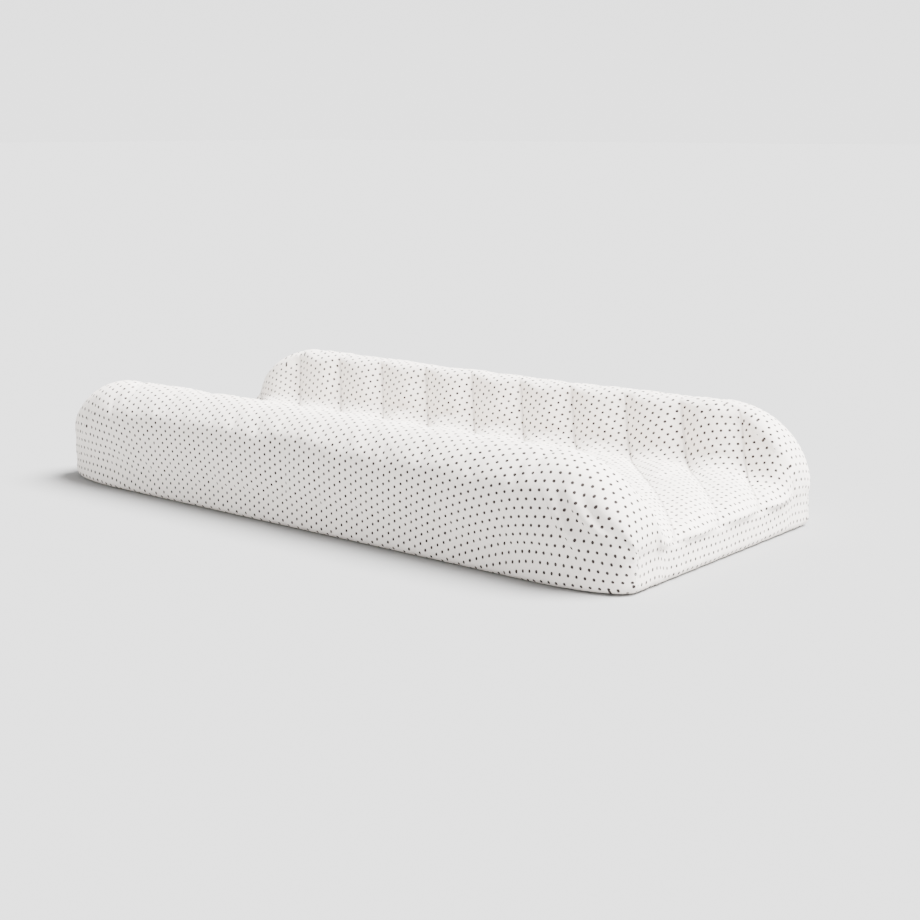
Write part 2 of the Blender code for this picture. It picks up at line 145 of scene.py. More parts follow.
def top_surface(inset, floor, rows, columns):
    """Points of a layer's top, as an array [column, row, xyz]."""
    section = full_profile(inset, floor, *rows)
    x, fall = stations(*columns)
    x = np.sign(x) * (np.abs(x) - inset)
    side = PAD_WIDTH / 2 - inset
    y = np.broadcast_to(section[:, 0], (len(x), len(section)))
    z = np.broadcast_to(section[:, 1], y.shape)
    f = fall[:, None]
    share = np.clip((np.abs(y) - CORNER_START) / (side - CORNER_START), 0, None)
    y = y - np.sign(y) * share * f * CORNER_INSET
    z = z + np.clip(z - floor, 0, None) * np.sign(y) * BACK_RISE * 2
    z = z - np.clip(z - END_KEEP, 0, None) * END_DROP * f
    return np.stack([np.broadcast_to(x[:, None], y.shape), y, z], -1)


# %% [markdown]
# ## The cotton cover as a grid of points
# A fitted cover is a top panel with a skirt that runs down the sides, turns under the pad
# and ends in an elastic hem. A grid suits it: the top panel has columns along the pad and
# rows across it, and its rim continues down as rings. Keeping the points in plain arrays
# until the end makes it easy to press folds into them and to measure the cloth.

# %% Rings that carry a top panel down and under
def rim_of(top):
    """Column and row numbers round the edge of a top panel, counter-clockwise from above."""
    columns, rows = top.shape[:2]
    last_c, last_r = columns - 1, rows - 1
    ring = [(c, 0) for c in range(last_c, 0, -1)]
    ring += [(0, r) for r in range(0, last_r)]
    ring += [(c, last_r) for c in range(0, last_c)]
    ring += [(last_c, r) for r in range(last_r, 0, -1)]
    return np.array(ring)


def numbers_on_rim(top, rim):
    """For each end of the panel, the rim numbers of its rows from the back to the front."""
    lookup = np.zeros(top.shape[:2], int)
    lookup[rim[:, 0], rim[:, 1]] = np.arange(len(rim))
    return lookup[0], lookup[-1]


def evened(top, rim):
    """Distance across the pad of each rim point once the end flaps hang evenly."""
    y = top[rim[:, 0], rim[:, 1], 1].copy()
    for end, numbers in zip((0, -1), numbers_on_rim(top, rim)):
        steps = np.linalg.norm(np.diff(top[end], axis=0), axis=1)
        along = np.concatenate([[0.0], np.cumsum(steps)]) / steps.sum()
        y[numbers] = np.abs(top[end, 0, 1]) * (1 - 2 * along)
    return y


def ring_at(top, rim, extra, height, base):
    """The rim drawn in by a further amount and lowered to a height above the base."""
    points = top[rim[:, 0], rim[:, 1]]
    half_length = np.abs(top[:, 0, 0]).max()
    end_side = np.abs(top[0, 0, 1])
    on_end = (rim[:, 0] == 0) | (rim[:, 0] == len(top) - 1)
    hung = np.clip((height - base) / (END_KEEP - base), 0.0, 1.0)
    x, y = points[:, 0], points[:, 1]
    y_end = (y * hung + evened(top, rim) * (1 - hung)) * (end_side - extra) / end_side
    towards_end = np.clip(np.abs(x) / (half_length - END_REACH), 0, 1)
    new_x = np.where(on_end, np.sign(x) * (half_length - extra), x - np.sign(x) * extra * towards_end)
    new_y = np.where(on_end, y_end, y - np.sign(y) * extra)
    lowest = np.full(len(x), height)
    new_z = np.where(hung > 0, base + hung * (points[:, 2] - base), lowest)
    return np.stack([new_x, new_y, new_z], 1)


# %% Rows of the skirt, as (how far in, height)
CLOTH = 0.0008              # thickness of the cotton
TURN_RADIUS = 0.0080        # rounding where the skirt turns under the pad
HEM_WIDTH = 0.0350
SKIRT_ROWS = 9
TURN_ROWS = 5
TUCK_ROWS = 8


def skirt_path(turn, reach, low):
    heights = np.linspace(END_KEEP, low + turn, SKIRT_ROWS + 1)[1:]
    rows = [(0.0, h) for h in heights]
    for k in range(1, TURN_ROWS + 1):
        angle = radians(90.0 * k / TURN_ROWS)
        rows.append((turn * (1 - cos(angle)), low + turn * (1 - sin(angle))))
    rows += [(d, low) for d in np.linspace(turn, reach, TUCK_ROWS + 1)[1:]]
    return rows


def rings_below(top, rim, path, base):
    return np.stack([ring_at(top, rim, extra, height, base) for extra, height in path])


cover_low_z = CLOTH / 2 + 0.0001
cover_skirt = skirt_path(TURN_RADIUS, HEM_WIDTH, cover_low_z)
print("skirt rows:", len(cover_skirt))


# %% The grid of the cover
COVER_ROWS = (22, 54)
COVER_COLUMNS = (176, 18)
cover_top = top_surface(CLOTH / 2, COVER_FLOOR - CLOTH / 2, COVER_ROWS, COVER_COLUMNS)
cover_rim = rim_of(cover_top)
cover_rings = rings_below(cover_top, cover_rim, cover_skirt, cover_low_z + TURN_RADIUS)
print("top panel", cover_top.shape[:2], "rim", len(cover_rim), "rings", len(cover_rings))


# %% [markdown]
# ## Gathers from the elastic hem
# The elastic draws the hem in, so the cloth above it stands in small uneven gathers. They
# are a sum of a few waves whose lengths do not divide each other, so that no two look the
# same. They grow from nothing at the top of the skirt to their full height at the hem.

# %% Gather the skirt
GATHER_LENGTHS = (0.0290, 0.0173, 0.0111)
GATHER_OUT = 0.0012         # how far a gather stands out from the side
GATHER_UP = 0.0009          # how high it stands in the narrow gap under the pad


def ramp(value, start, end):
    """0 before start, 1 after end, and a smooth rise between."""
    t = np.clip((value - start) / (end - start), 0.0, 1.0)
    return t * t * (3 - 2 * t)


def gather_wave(ring):
    """An uneven wave between 0 and 1 along a closed ring of points."""
    steps = np.linalg.norm(np.roll(ring, -1, axis=0) - ring, axis=1)
    along = np.concatenate([[0.0], np.cumsum(steps)])
    total = along[-1]
    wave = np.zeros(len(ring))
    for number, length in enumerate(GATHER_LENGTHS):
        turns = 2 * pi * round(total / length) * along[:-1] / total
        wander = 1.3 * np.sin(2 * pi * (5 + 2 * number) * along[:-1] / total + number)
        wave += np.sin(turns + wander) / (number + 1)
    return (wave - wave.min()) / (wave.max() - wave.min())


def gathered(rings, wave):
    """Rings with the gathers worked in: outwards on the side, upwards under the pad."""
    result = rings.copy()
    middle = rings[0] * [1, 1, 0]
    after, before = np.roll(middle, -1, axis=0), np.roll(middle, 1, axis=0)
    out = np.cross(after - before, (0, 0, 1.0))
    out /= np.maximum(np.linalg.norm(out, axis=1, keepdims=True), 1e-9)
    for number in range(len(rings)):
        side_share = ramp(number, 1, SKIRT_ROWS) * (number < SKIRT_ROWS + TURN_ROWS)
        side_share *= 1 - ramp(number, SKIRT_ROWS, SKIRT_ROWS + TURN_ROWS)
        under_share = ramp(number, SKIRT_ROWS + 2, SKIRT_ROWS + TURN_ROWS + TUCK_ROWS - 3)
        result[number] += out * (GATHER_OUT * side_share * wave)[:, None]
        result[number, :, 2] += GATHER_UP * under_share * wave
    return result


cover_rings_plain = cover_rings[SKIRT_ROWS].copy()
cover_rings = gathered(cover_rings, gather_wave(cover_rings_plain))
print("lowest and highest point of the hem, mm:", (cover_rings[-1, :, 2].min() * 1000).round(2),
      (cover_rings[-1, :, 2].max() * 1000).round(2))

# %% [markdown]
# ## Folds pressed into the cover
# The pad under the cover is sewn across in channels, and the cotton sinks into them. Each
# crease starts just below a bolster's ridge, runs down its inner face and sweeps on across
# the valley towards the foot end. A painted bump would leave the outline flat, so the
# points themselves move: down at a crease, up in the soft panel between two.
# The phase of the pattern is kept for each point, and the material uses it again later,
# to sink each crease in its bump and to paint shade along it.

# %% Crease lines
CREASE_FIRST = 0.034        # where the crease nearest the middle meets the back bolster
CREASE_PITCH = 0.074
SWEEP_START = 0.145         # distance from the middle where that is measured
SWEEP_SLOPE = 0.92          # how far a crease moves along the pad for each metre across it
RIDGE_Y = 0.157


def crease_phase(x, y):
    """A number that grows by one from each crease to the next."""
    sweep = SWEEP_SLOPE * (SWEEP_START - np.clip(y, -RIDGE_Y, RIDGE_Y))
    return (x - CREASE_FIRST - sweep) / CREASE_PITCH


def crease_strength(profile_rows, ridge, wall, faded, valley_share):
    """How deep the creases are in each row: none outside, full on the wall, less in the valley."""
    steps = np.linalg.norm(np.diff(profile_rows, axis=0), axis=1)
    along = np.concatenate([[0.0], np.cumsum(steps)])
    middle = along[-1] / 2
    from_ridge = middle - np.abs(along - middle) - (middle - ridge_distance(profile_rows))
    rise = ramp(from_ridge, ridge, wall)
    return rise * (1 - (1 - valley_share) * ramp(from_ridge, faded, middle))


def ridge_distance(profile_rows):
    """Length of the profile from its middle up to the ridge of a bolster."""
    half = profile_rows[len(profile_rows) // 2:]
    top = int(np.argmax(half[:, 1]))
    return float(np.linalg.norm(np.diff(half[:top + 1], axis=0), axis=1).sum())


cover_profile = full_profile(CLOTH / 2, COVER_FLOOR - CLOTH / 2, *COVER_ROWS)
row_strength = crease_strength(cover_profile, 0.004, 0.026, 0.085, 0.55)
cover_phase = crease_phase(cover_top[:, :, 0], np.broadcast_to(cover_profile[:, 0], cover_top.shape[:2]))
cover_strength = np.broadcast_to(row_strength, cover_phase.shape)
print("creases on the back wall:", int(cover_phase[-1, 40]) - int(cover_phase[0, 40]))


# %% Press the creases and puff the panels
CREASE_DEPTH = 0.0034
PUFF_HEIGHT = 0.0027
PUFF_POWER = 2.3


def grid_normals(points):
    along = np.gradient(points, axis=0)
    across = np.gradient(points, axis=1)
    normals = np.cross(across, along)
    return normals / np.linalg.norm(normals, axis=2, keepdims=True)


def puffed(phase, strength, depth, height, power):
    """Height above the plain form: a sharp dip at each crease and a soft crown between."""
    offset = np.abs(phase - np.round(phase)) * 2
    crown = 1 - (1 - offset) ** power
    lively = 1 + 0.25 * (fixed_random(np.floor(phase)) - 0.5)
    return strength * (crown * (depth + height) * lively - depth)


def fixed_random(number):
    """The same value between 0 and 1 each time for a whole number."""
    return np.mod(np.sin(number * 12.9898 + 4.1) * 43758.5453, 1.0)


def soft_noise(points, size, seed):
    """Smooth noise between about -1 and 1 at each point of an array."""
    flat = points.reshape(-1, 3) / size
    values = [noise.noise(Vector((x + seed, y - seed, z))) for x, y, z in flat]
    return np.array(values).reshape(points.shape[:-1])


# %% [markdown]
# ## Wrinkles at the corners
# Where the hem pulls the cotton round the end of a bolster, short slanting wrinkles run from
# the shoulder down towards the corner. A simulation would put them where it likes. Here each
# is a bowed line with a raised profile across it, so it lies where it should.

# %% Wrinkles where the cloth is pulled round a corner
# Each runs from its first (x, z) to its second on the outer face of the bolster on that side.
PULLS = ((-1, (0.327, 0.092), (0.364, 0.038), 0.0052), (-1, (0.347, 0.096), (0.387, 0.052), 0.0052),
         (-1, (-0.330, 0.092), (-0.362, 0.050), 0.0030), (1, (0.322, 0.096), (0.362, 0.046), 0.0040),
         (1, (-0.318, 0.098), (-0.352, 0.056), 0.0032))
PULL_WIDTH = 0.0050


def pull_wrinkles(points):
    """A raised line along each pull, with a shallow trough on either side of it."""
    height = np.zeros(points.shape[:-1])
    places = points[..., [0, 2]]
    for side, start, end, rise in PULLS:
        start, run = np.array(start), np.subtract(end, start)
        length = np.linalg.norm(run)
        from_start = places - start
        along = (from_start @ run) / length ** 2
        bow = 0.0035 * np.sin(pi * np.clip(along, 0, 1))
        across = ((from_start[..., 0] * run[1] - from_start[..., 1] * run[0]) / length - bow) / PULL_WIDTH
        taper = ramp(along, -0.15, 0.35) * (1 - ramp(along, 0.55, 1.2))
        face = ramp(points[..., 1] * side, RIDGE_Y - 0.004, RIDGE_Y + 0.018)
        height += rise * face * taper * (1 - across ** 2) * np.exp(-across ** 2 / 2)
    return height


# %% The form of the top panel
cover_form = cover_top.copy()
lift = puffed(cover_phase, cover_strength, CREASE_DEPTH, PUFF_HEIGHT, PUFF_POWER)
lift = lift + 0.0009 * soft_noise(cover_top, 0.085, 3.0) + 0.0005 * soft_noise(cover_top, 0.032, 9.0)
lift = lift + pull_wrinkles(cover_top)
cover_form = cover_form + grid_normals(cover_top) * lift[:, :, None]
print("largest dip and rise of the cloth, mm:", (lift.min() * 1000).round(2), (lift.max() * 1000).round(2))


# %% [markdown]
# ## From arrays to a mesh
# A mesh wants one list of points and one list of faces. The top panel's points come first,
# then each ring of the skirt, which shares its first ring with the panel's rim.

# %% Build a mesh from a top panel and its rings
def panel_numbers(columns, rows, rim, ring_count):
    """Point numbers of the panel as a grid, and of the rim and each ring below it."""
    grid = np.arange(columns * rows).reshape(columns, rows)
    start = columns * rows
    rings = start + np.arange(ring_count * len(rim)).reshape(ring_count, len(rim))
    return grid, np.vstack([grid[rim[:, 0], rim[:, 1]], rings])


def panel_faces(grid, rings):
    top = np.stack([grid[:-1, :-1], grid[:-1, 1:], grid[1:, 1:], grid[1:, :-1]], -1).reshape(-1, 4)
    after = np.roll(rings, -1, axis=1)
    skirt = np.stack([rings[:-1], rings[1:], after[1:], after[:-1]], -1).reshape(-1, 4)
    return top, skirt


def new_mesh(name, points, faces):
    mesh = bpy.data.meshes.new(name)
    mesh.from_pydata(points.tolist(), [], faces.tolist())
    mesh.polygons.foreach_set("use_smooth", np.ones(len(faces), bool))
    mesh.update()
    return mesh


def add_piece(name, mesh, *materials):
    obj = bpy.data.objects.new(name, mesh)
    bpy.context.scene.collection.objects.link(obj)
    for material in materials:
        mesh.materials.append(material)
    return obj


cover_grid, cover_numbers = panel_numbers(*cover_top.shape[:2], cover_rim, len(cover_rings))
top_faces, skirt_faces = panel_faces(cover_grid, cover_numbers)
cover_points = np.vstack([cover_form.reshape(-1, 3), cover_rings.reshape(-1, 3)])
print("cover:", len(cover_points), "points,", len(top_faces) + len(skirt_faces), "faces")


# %% Flat pattern of the cloth
def cross_of(top, rings, rim):
    """The panel with its four flaps laid out round it, and which places of that grid are cloth."""
    flap = len(rings)
    columns, rows = top.shape[:2]
    lookup = np.zeros(top.shape[:2], int)
    lookup[rim[:, 0], rim[:, 1]] = np.arange(len(rim))
    points = np.zeros((columns + 2 * flap, rows + 2 * flap, 3))
    cloth = np.zeros(points.shape[:2])
    middle_c, middle_r = slice(flap, flap + columns), slice(flap, flap + rows)
    points[middle_c, middle_r] = top
    points[:flap, middle_r] = rings[::-1, lookup[0]]
    points[flap + columns:, middle_r] = rings[:, lookup[-1]]
    points[middle_c, :flap] = rings[::-1, lookup[:, 0]].transpose(1, 0, 2)
    points[middle_c, flap + rows:] = rings[:, lookup[:, -1]].transpose(1, 0, 2)
    cloth[middle_c] = 1
    cloth[:, middle_r] = 1
    return points, cloth


def walked(points, cloth, axis):
    """Distance walked along one direction of a grid, from its middle line."""
    count = cloth.shape[axis]
    both = np.take(cloth, range(1, count), axis) * np.take(cloth, range(count - 1), axis)
    steps = np.linalg.norm(np.diff(points, axis=axis), axis=2) * both
    pad = [(0, 0), (0, 0)]
    pad[axis] = (1, 0)
    total = np.pad(np.cumsum(steps, axis=axis), pad)
    return total - np.take(total, [total.shape[axis] // 2], axis=axis)


LINKS = [((slice(1, None), slice(None)), (slice(None, -1), slice(None))),
         ((slice(None), slice(1, None)), (slice(None), slice(None, -1))),
         ((slice(1, None), slice(1, None)), (slice(None, -1), slice(None, -1))),
         ((slice(1, None), slice(None, -1)), (slice(None, -1), slice(1, None)))]


def relaxed(flat, points, cloth, rounds):
    """Let springs between neighbours pull the flat pattern to the cloth's true lengths."""
    lengths = [np.linalg.norm(points[a] - points[b], axis=2) for a, b in LINKS]
    shares = [0.12 * cloth[a] * cloth[b] for a, b in LINKS]
    for _ in range(rounds):
        push = np.zeros_like(flat)
        for (a, b), length, share in zip(LINKS, lengths, shares):
            gap = flat[a] - flat[b]
            now = np.sqrt(gap[:, :, 0] ** 2 + gap[:, :, 1] ** 2)
            move = gap * (share * (length / np.maximum(now, 1e-6) - 1))[:, :, None]
            push[a] += move
            push[b] -= move
        flat = flat + push
    return flat


def thinned(size, flap, stride):
    """Every stride-th number of each of the three parts of one direction, with their ends."""
    parts = [(0, flap), (flap, size - flap - 1), (size - flap - 1, size - 1)]
    return np.unique(np.concatenate([np.linspace(a, b, max(1, (b - a) // stride) + 1).round().astype(int)
                                     for a, b in parts]))


def flat_pattern(top, rings, rim, stages):
    """Relax a thinned grid first, where a pull travels far in few rounds, and then finer ones."""
    points, cloth = cross_of(top, rings, rim)
    flat = np.stack([walked(points, cloth, 0), -walked(points, cloth, 1)], -1)
    whole = [np.arange(n) for n in cloth.shape]
    for stride, rounds in stages:
        kept = [thinned(n, len(rings), stride) for n in cloth.shape]
        square = np.ix_(*kept)
        thin = relaxed(flat[square], points[square], cloth[square], rounds)
        wide = np.stack([[np.interp(whole[0], kept[0], thin[:, r, k]) for r in range(thin.shape[1])]
                         for k in range(2)], -1)
        flat = np.stack([[np.interp(whole[1], kept[1], wide[:, c, k]) for c in range(len(whole[0]))]
                         for k in range(2)], -1)
    return flat, cloth


cover_flat, cover_cloth = flat_pattern(cover_form, cover_rings, cover_rim, ((8, 900), (3, 400), (1, 160)))


# %% Write the flat pattern as a UV map and the folds as attributes
def write_flat_pattern(mesh, flat, rim, faces_top, top_shape, ring_count):
    """UVs in metres of cloth. Below the rim the four flaps part at the corners, as they are cut."""
    columns, rows = top_shape[:2]
    c, r = rim[:, 0] + ring_count, rim[:, 1] + ring_count
    down = np.arange(ring_count + 1)[:, None]
    side = flat[c, np.where(rim[:, 1] * 2 < rows, r - down, r + down).clip(0, flat.shape[1] - 1)]
    end = flat[np.where(rim[:, 0] * 2 < columns, c - down, c + down).clip(0, flat.shape[0] - 1), r]
    following = np.roll(rim, -1, axis=0)
    on_end = (rim[:, 0] == following[:, 0]) & np.isin(rim[:, 0], (0, columns - 1))
    here = np.where(on_end[None, :, None], end, side)
    after = np.where(on_end[None, :, None], np.roll(end, -1, axis=1), np.roll(side, -1, axis=1))
    corners = np.stack([here[:-1], here[1:], after[1:], after[:-1]], 2)
    top = flat[ring_count:-ring_count, ring_count:-ring_count].reshape(-1, 2)
    uv = np.concatenate([top[faces_top].reshape(-1, 2), corners.reshape(-1, 2)])
    layer = mesh.uv_layers.new(name="cloth")
    layer.uv.foreach_set("vector", uv.astype(np.float32).ravel())


def write_number(mesh, name, values):
    attribute = mesh.attributes.new(name, "FLOAT", "POINT")
    attribute.data.foreach_set("value", np.asarray(values, np.float32).ravel())


cover_faces = np.concatenate([top_faces, skirt_faces])
cover_mesh = new_mesh("fitted_cover_cloth", cover_points, cover_faces)
write_flat_pattern(cover_mesh, cover_flat, cover_rim, top_faces, cover_top.shape, len(cover_rings))
skirt_count = cover_rings.shape[0] * cover_rings.shape[1]
write_number(cover_mesh, "crease_phase", np.concatenate([cover_phase.ravel(), np.zeros(skirt_count) + 0.5]))
write_number(cover_mesh, "crease_strength", np.concatenate([cover_strength.ravel(), np.zeros(skirt_count)]))
cover = add_piece("cotton_cover", cover_mesh)
print("UVs written for", len(cover_mesh.loops), "corners")


# %% [markdown]
# ## Letting the cotton find its own shape
# Pressed folds alone look machined. Real cotton is held in the creases and at the hem, and
# between them it is free to swell and pucker. Blender's Cloth does that in a second: the
# creases and the skirt are pinned, a little pressure fills the panels, gravity is off, and
# the cloth is cut slightly full so that it has something to pucker with. The result is
# only taken as a small shift of each point, so the cover keeps its size.

# %% Simulate, and keep a limited shift
def settle_cloth(obj, pins, pressure, fullness, frames, limit):
    """Cloth under light pressure; returns the shift of each point, never more than limit."""
    scene = bpy.context.scene
    group = obj.vertex_groups.new(name="held")
    for level in np.unique(np.round(pins, 1)):
        if level > 0:
            group.add(np.nonzero(np.round(pins, 1) == level)[0].tolist(), float(level), "REPLACE")
    cloth = obj.modifiers.new("Cloth", "CLOTH")
    settings = cloth.settings
    settings.quality = 4
    settings.mass = 0.2
    settings.tension_stiffness = 20
    settings.compression_stiffness = 12
    settings.shear_stiffness = 6
    settings.bending_stiffness = 0.4
    settings.vertex_group_mass = "held"
    settings.pin_stiffness = 1.0
    settings.shrink_min = -fullness
    settings.use_pressure = True
    settings.uniform_pressure_force = pressure
    settings.effector_weights.gravity = 0.0
    cloth.collision_settings.use_collision = False
    cloth.point_cache.frame_start = 1
    cloth.point_cache.frame_end = frames
    before = np.empty(len(obj.data.vertices) * 3)
    obj.data.vertices.foreach_get("co", before)
    for number in range(1, frames + 1):
        scene.frame_set(number)
    settled = obj.evaluated_get(bpy.context.evaluated_depsgraph_get())
    after = np.empty(len(before))
    settled.data.vertices.foreach_get("co", after)
    obj.modifiers.remove(cloth)
    obj.vertex_groups.remove(group)
    scene.frame_set(1)
    shift = (after - before).reshape(-1, 3)
    size = np.linalg.norm(shift, axis=1, keepdims=True)
    return shift * (limit * np.tanh(size / limit) / np.maximum(size, 1e-9))


near_crease = np.abs(cover_phase - np.round(cover_phase)) * CREASE_PITCH
top_pins = ramp(cover_strength, 0.1, 0.5) * (near_crease < 0.0032)
skirt_pins = np.ones(cover_rings.shape[:2])
skirt_pins[:4] = np.array([0.2, 0.5, 0.8, 1.0])[:, None]
cover_pins = np.concatenate([top_pins.ravel(), skirt_pins.ravel()])
shift = settle_cloth(cover, cover_pins, 3.0, 0.012, 16, 0.004)
print("cloth moved, mm: mean", (np.linalg.norm(shift, axis=1).mean() * 1000).round(2),
      "most", (np.linalg.norm(shift, axis=1).max() * 1000).round(2))
cover_points = cover_points + shift

# %% [markdown]
# ## Room for the belt
# The fastened belt lies in the valley under the cotton. Real cloth rests on the buckle. The
# simulation knows nothing of it, so points above the belt are raised to clear its top, and
# the lift fades out beside it.

# %% Lift the cotton over the belt
BELT_ROOM = 0.0010
LIFT_FULL, LIFT_NONE = 0.004, 0.018     # distance beside a piece where the lift is full, and gone


def lifted_over(points, node_names, height):
    """Raise points above the named pieces to a height over their tops, fading out beside them."""
    result = points.copy()
    for name in node_names:
        low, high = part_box(name)
        outside = [np.maximum(low[k] - result[:, k], result[:, k] - high[k]) for k in (0, 1)]
        share = (1 - ramp(outside[0], LIFT_FULL, LIFT_NONE)) * (1 - ramp(outside[1], LIFT_FULL, LIFT_NONE))
        result[:, 2] += share * np.maximum(high.z + height - result[:, 2], 0.0)
    return result


before = cover_points.copy()
cover_points = lifted_over(cover_points, ("buckle_socket", "buckle_plug", "belt_strap_front",
                                          "belt_strap_back"), CLOTH / 2 + BELT_ROOM)
cover.data.vertices.foreach_set("co", cover_points.ravel())
print("largest lift over the belt, mm:", ((cover_points - before)[:, 2].max() * 1000).round(2))


# %% [markdown]
# ## A finish for the cotton
# The print is small round dots in rows that are staggered like bricks, on a warm white
# plain weave. An image would be blurred close up, so the dots are worked out in the shader
# from the flat pattern: each dot is the set of points within a radius of the nearest
# lattice point. Effects that several finishes share are node groups with named inputs.

# %% Helpers for node trees
def node(tree, kind, inputs=None, **settings):
    made = tree.nodes.new(kind)
    for name, value in settings.items():
        setattr(made, name, value)
    for name, value in (inputs or {}).items():
        if isinstance(value, bpy.types.NodeSocket):
            tree.links.new(value, made.inputs[name])
        else:
            made.inputs[name].default_value = value
    return made


def calc(tree, operation, first, second=0.0, third=0.0, clamp=False):
    made = node(tree, "ShaderNodeMath", operation=operation, use_clamp=clamp,
                inputs={0: first, 1: second, 2: third})
    return made.outputs[0]


def vector_calc(tree, operation, first, second=(0, 0, 0)):
    made = node(tree, "ShaderNodeVectorMath", operation=operation, inputs={0: first, 1: second})
    return made.outputs["Value" if operation in ("LENGTH", "DISTANCE") else "Vector"]


def new_group(name, inputs, outputs):
    """A shader node group with (name, kind, value) inputs and (name, kind) outputs."""
    group = bpy.data.node_groups.new(name, "ShaderNodeTree")
    for label, kind, value in inputs:
        socket = group.interface.new_socket(label, in_out="INPUT", socket_type="NodeSocket" + kind)
        if value is not None:
            socket.default_value = value
    for label, kind in outputs:
        group.interface.new_socket(label, in_out="OUTPUT", socket_type="NodeSocket" + kind)
    return group, group.nodes.new("NodeGroupInput"), group.nodes.new("NodeGroupOutput")


def use_group(tree, group, **inputs):
    made = tree.nodes.new("ShaderNodeGroup")
    made.node_tree = group
    for label, value in inputs.items():
        socket = made.inputs[label.replace("_", " ")]
        if isinstance(value, bpy.types.NodeSocket):
            tree.links.new(value, socket)
        else:
            socket.default_value = value
    return made


# %% Group: plain weave
def make_weave_group():
    group, start, end = new_group(
        "Plain weave", [("Vector", "Vector", None), ("Thread", "Float", 0.0005), ("Slub", "Float", 0.3)],
        [("Height", "Float"), ("Shade", "Float")])
    scaled = vector_calc(group, "DIVIDE", start.outputs["Vector"],
                         node(group, "ShaderNodeCombineXYZ", {"X": start.outputs["Thread"],
                              "Y": start.outputs["Thread"], "Z": 1.0}).outputs[0])
    parts = node(group, "ShaderNodeSeparateXYZ", {"Vector": scaled})
    warp = calc(group, "SINE", calc(group, "MULTIPLY", parts.outputs["X"], pi))
    weft = calc(group, "SINE", calc(group, "MULTIPLY", parts.outputs["Y"], pi))
    over = calc(group, "MULTIPLY", warp, weft)
    drawn_out = vector_calc(group, "MULTIPLY", scaled, (0.02, 0.5, 1.0))
    slub = node(group, "ShaderNodeTexNoise", {"Vector": drawn_out, "Scale": 1.0, "Detail": 2.0})
    height = calc(group, "MULTIPLY_ADD", slub.outputs["Fac"], start.outputs["Slub"], over)
    group.links.new(calc(group, "MULTIPLY_ADD", height, 0.5, 0.5), end.inputs["Height"])
    group.links.new(calc(group, "SUBTRACT", slub.outputs["Fac"], 0.5), end.inputs["Shade"])
    return group


WEAVE = make_weave_group()
print("plain weave:", len(WEAVE.nodes), "nodes")


# %% Group: staggered dots
def make_dots_group():
    group, start, end = new_group(
        "Staggered dots",
        [("Vector", "Vector", None), ("Column", "Float", 0.0152), ("Row", "Float", 0.0090),
         ("Radius", "Float", 0.0012), ("Edge", "Float", 0.0003)],
        [("Mask", "Float")])
    cell = node(group, "ShaderNodeCombineXYZ", {"X": start.outputs["Column"], "Y": start.outputs["Row"],
                                                "Z": 1.0}).outputs[0]
    scaled = vector_calc(group, "DIVIDE", start.outputs["Vector"], cell)
    nearest = []
    for shift in ((0.0, 0.0, 0.0), (0.5, 0.5, 0.0)):
        local = vector_calc(group, "FRACTION", vector_calc(group, "ADD", scaled, shift))
        local = vector_calc(group, "MULTIPLY", vector_calc(group, "SUBTRACT", local, (0.5, 0.5, 0.0)), cell)
        nearest.append(vector_calc(group, "LENGTH", vector_calc(group, "MULTIPLY", local, (1, 1, 0))))
    distance = calc(group, "MINIMUM", *nearest)
    inside = node(group, "ShaderNodeMapRange", {
        "Value": distance, "From Min": calc(group, "ADD", start.outputs["Radius"], start.outputs["Edge"]),
        "From Max": calc(group, "SUBTRACT", start.outputs["Radius"], start.outputs["Edge"])},
        interpolation_type="SMOOTHSTEP")
    group.links.new(inside.outputs[0], end.inputs["Mask"])
    return group


DOTS = make_dots_group()
print("staggered dots:", len(DOTS.nodes), "nodes")


# %% Cotton print, with painted shade along the creases
def new_material(name, roughness, metallic=0.0):
    material = bpy.data.materials.new(name)
    material.use_nodes = True
    tree = material.node_tree
    shader = tree.nodes["Principled BSDF"]
    shader.inputs["Roughness"].default_value = roughness
    shader.inputs["Metallic"].default_value = metallic
    return material, tree, shader


def mix_colour(tree, factor, first, second, blend="MIX"):
    made = node(tree, "ShaderNodeMix", data_type="RGBA", blend_type=blend)
    for socket, value in ((made.inputs[0], factor), (made.inputs[6], first), (made.inputs[7], second)):
        if isinstance(value, bpy.types.NodeSocket):
            tree.links.new(value, socket)
        else:
            socket.default_value = value
    return made.outputs[2]


DOT_COLUMN = 0.0154
DOT_ROW = 0.0090
DOT_RADIUS = 0.00155
DOT_EDGE = 0.00012          # the ink's soft edge
PRINT_WANDER = 0.00025      # how unevenly the ink takes
COTTON_THREAD = 0.00042
COTTON_WHITE = (0.925, 0.862, 0.800, 1.0)
COTTON_DEEP = (0.900, 0.838, 0.776, 1.0)
COTTON_THIN = (0.78, 0.74, 0.70, 1.0)
# painted shade: the grey that darkens the cotton along each crease
PAINTED_CREASE_SHADE = (0.50, 0.47, 0.45, 1.0)
DOT_GREY = (0.030, 0.023, 0.023, 1.0)
DOT_FADED = (0.046, 0.037, 0.036, 1.0)


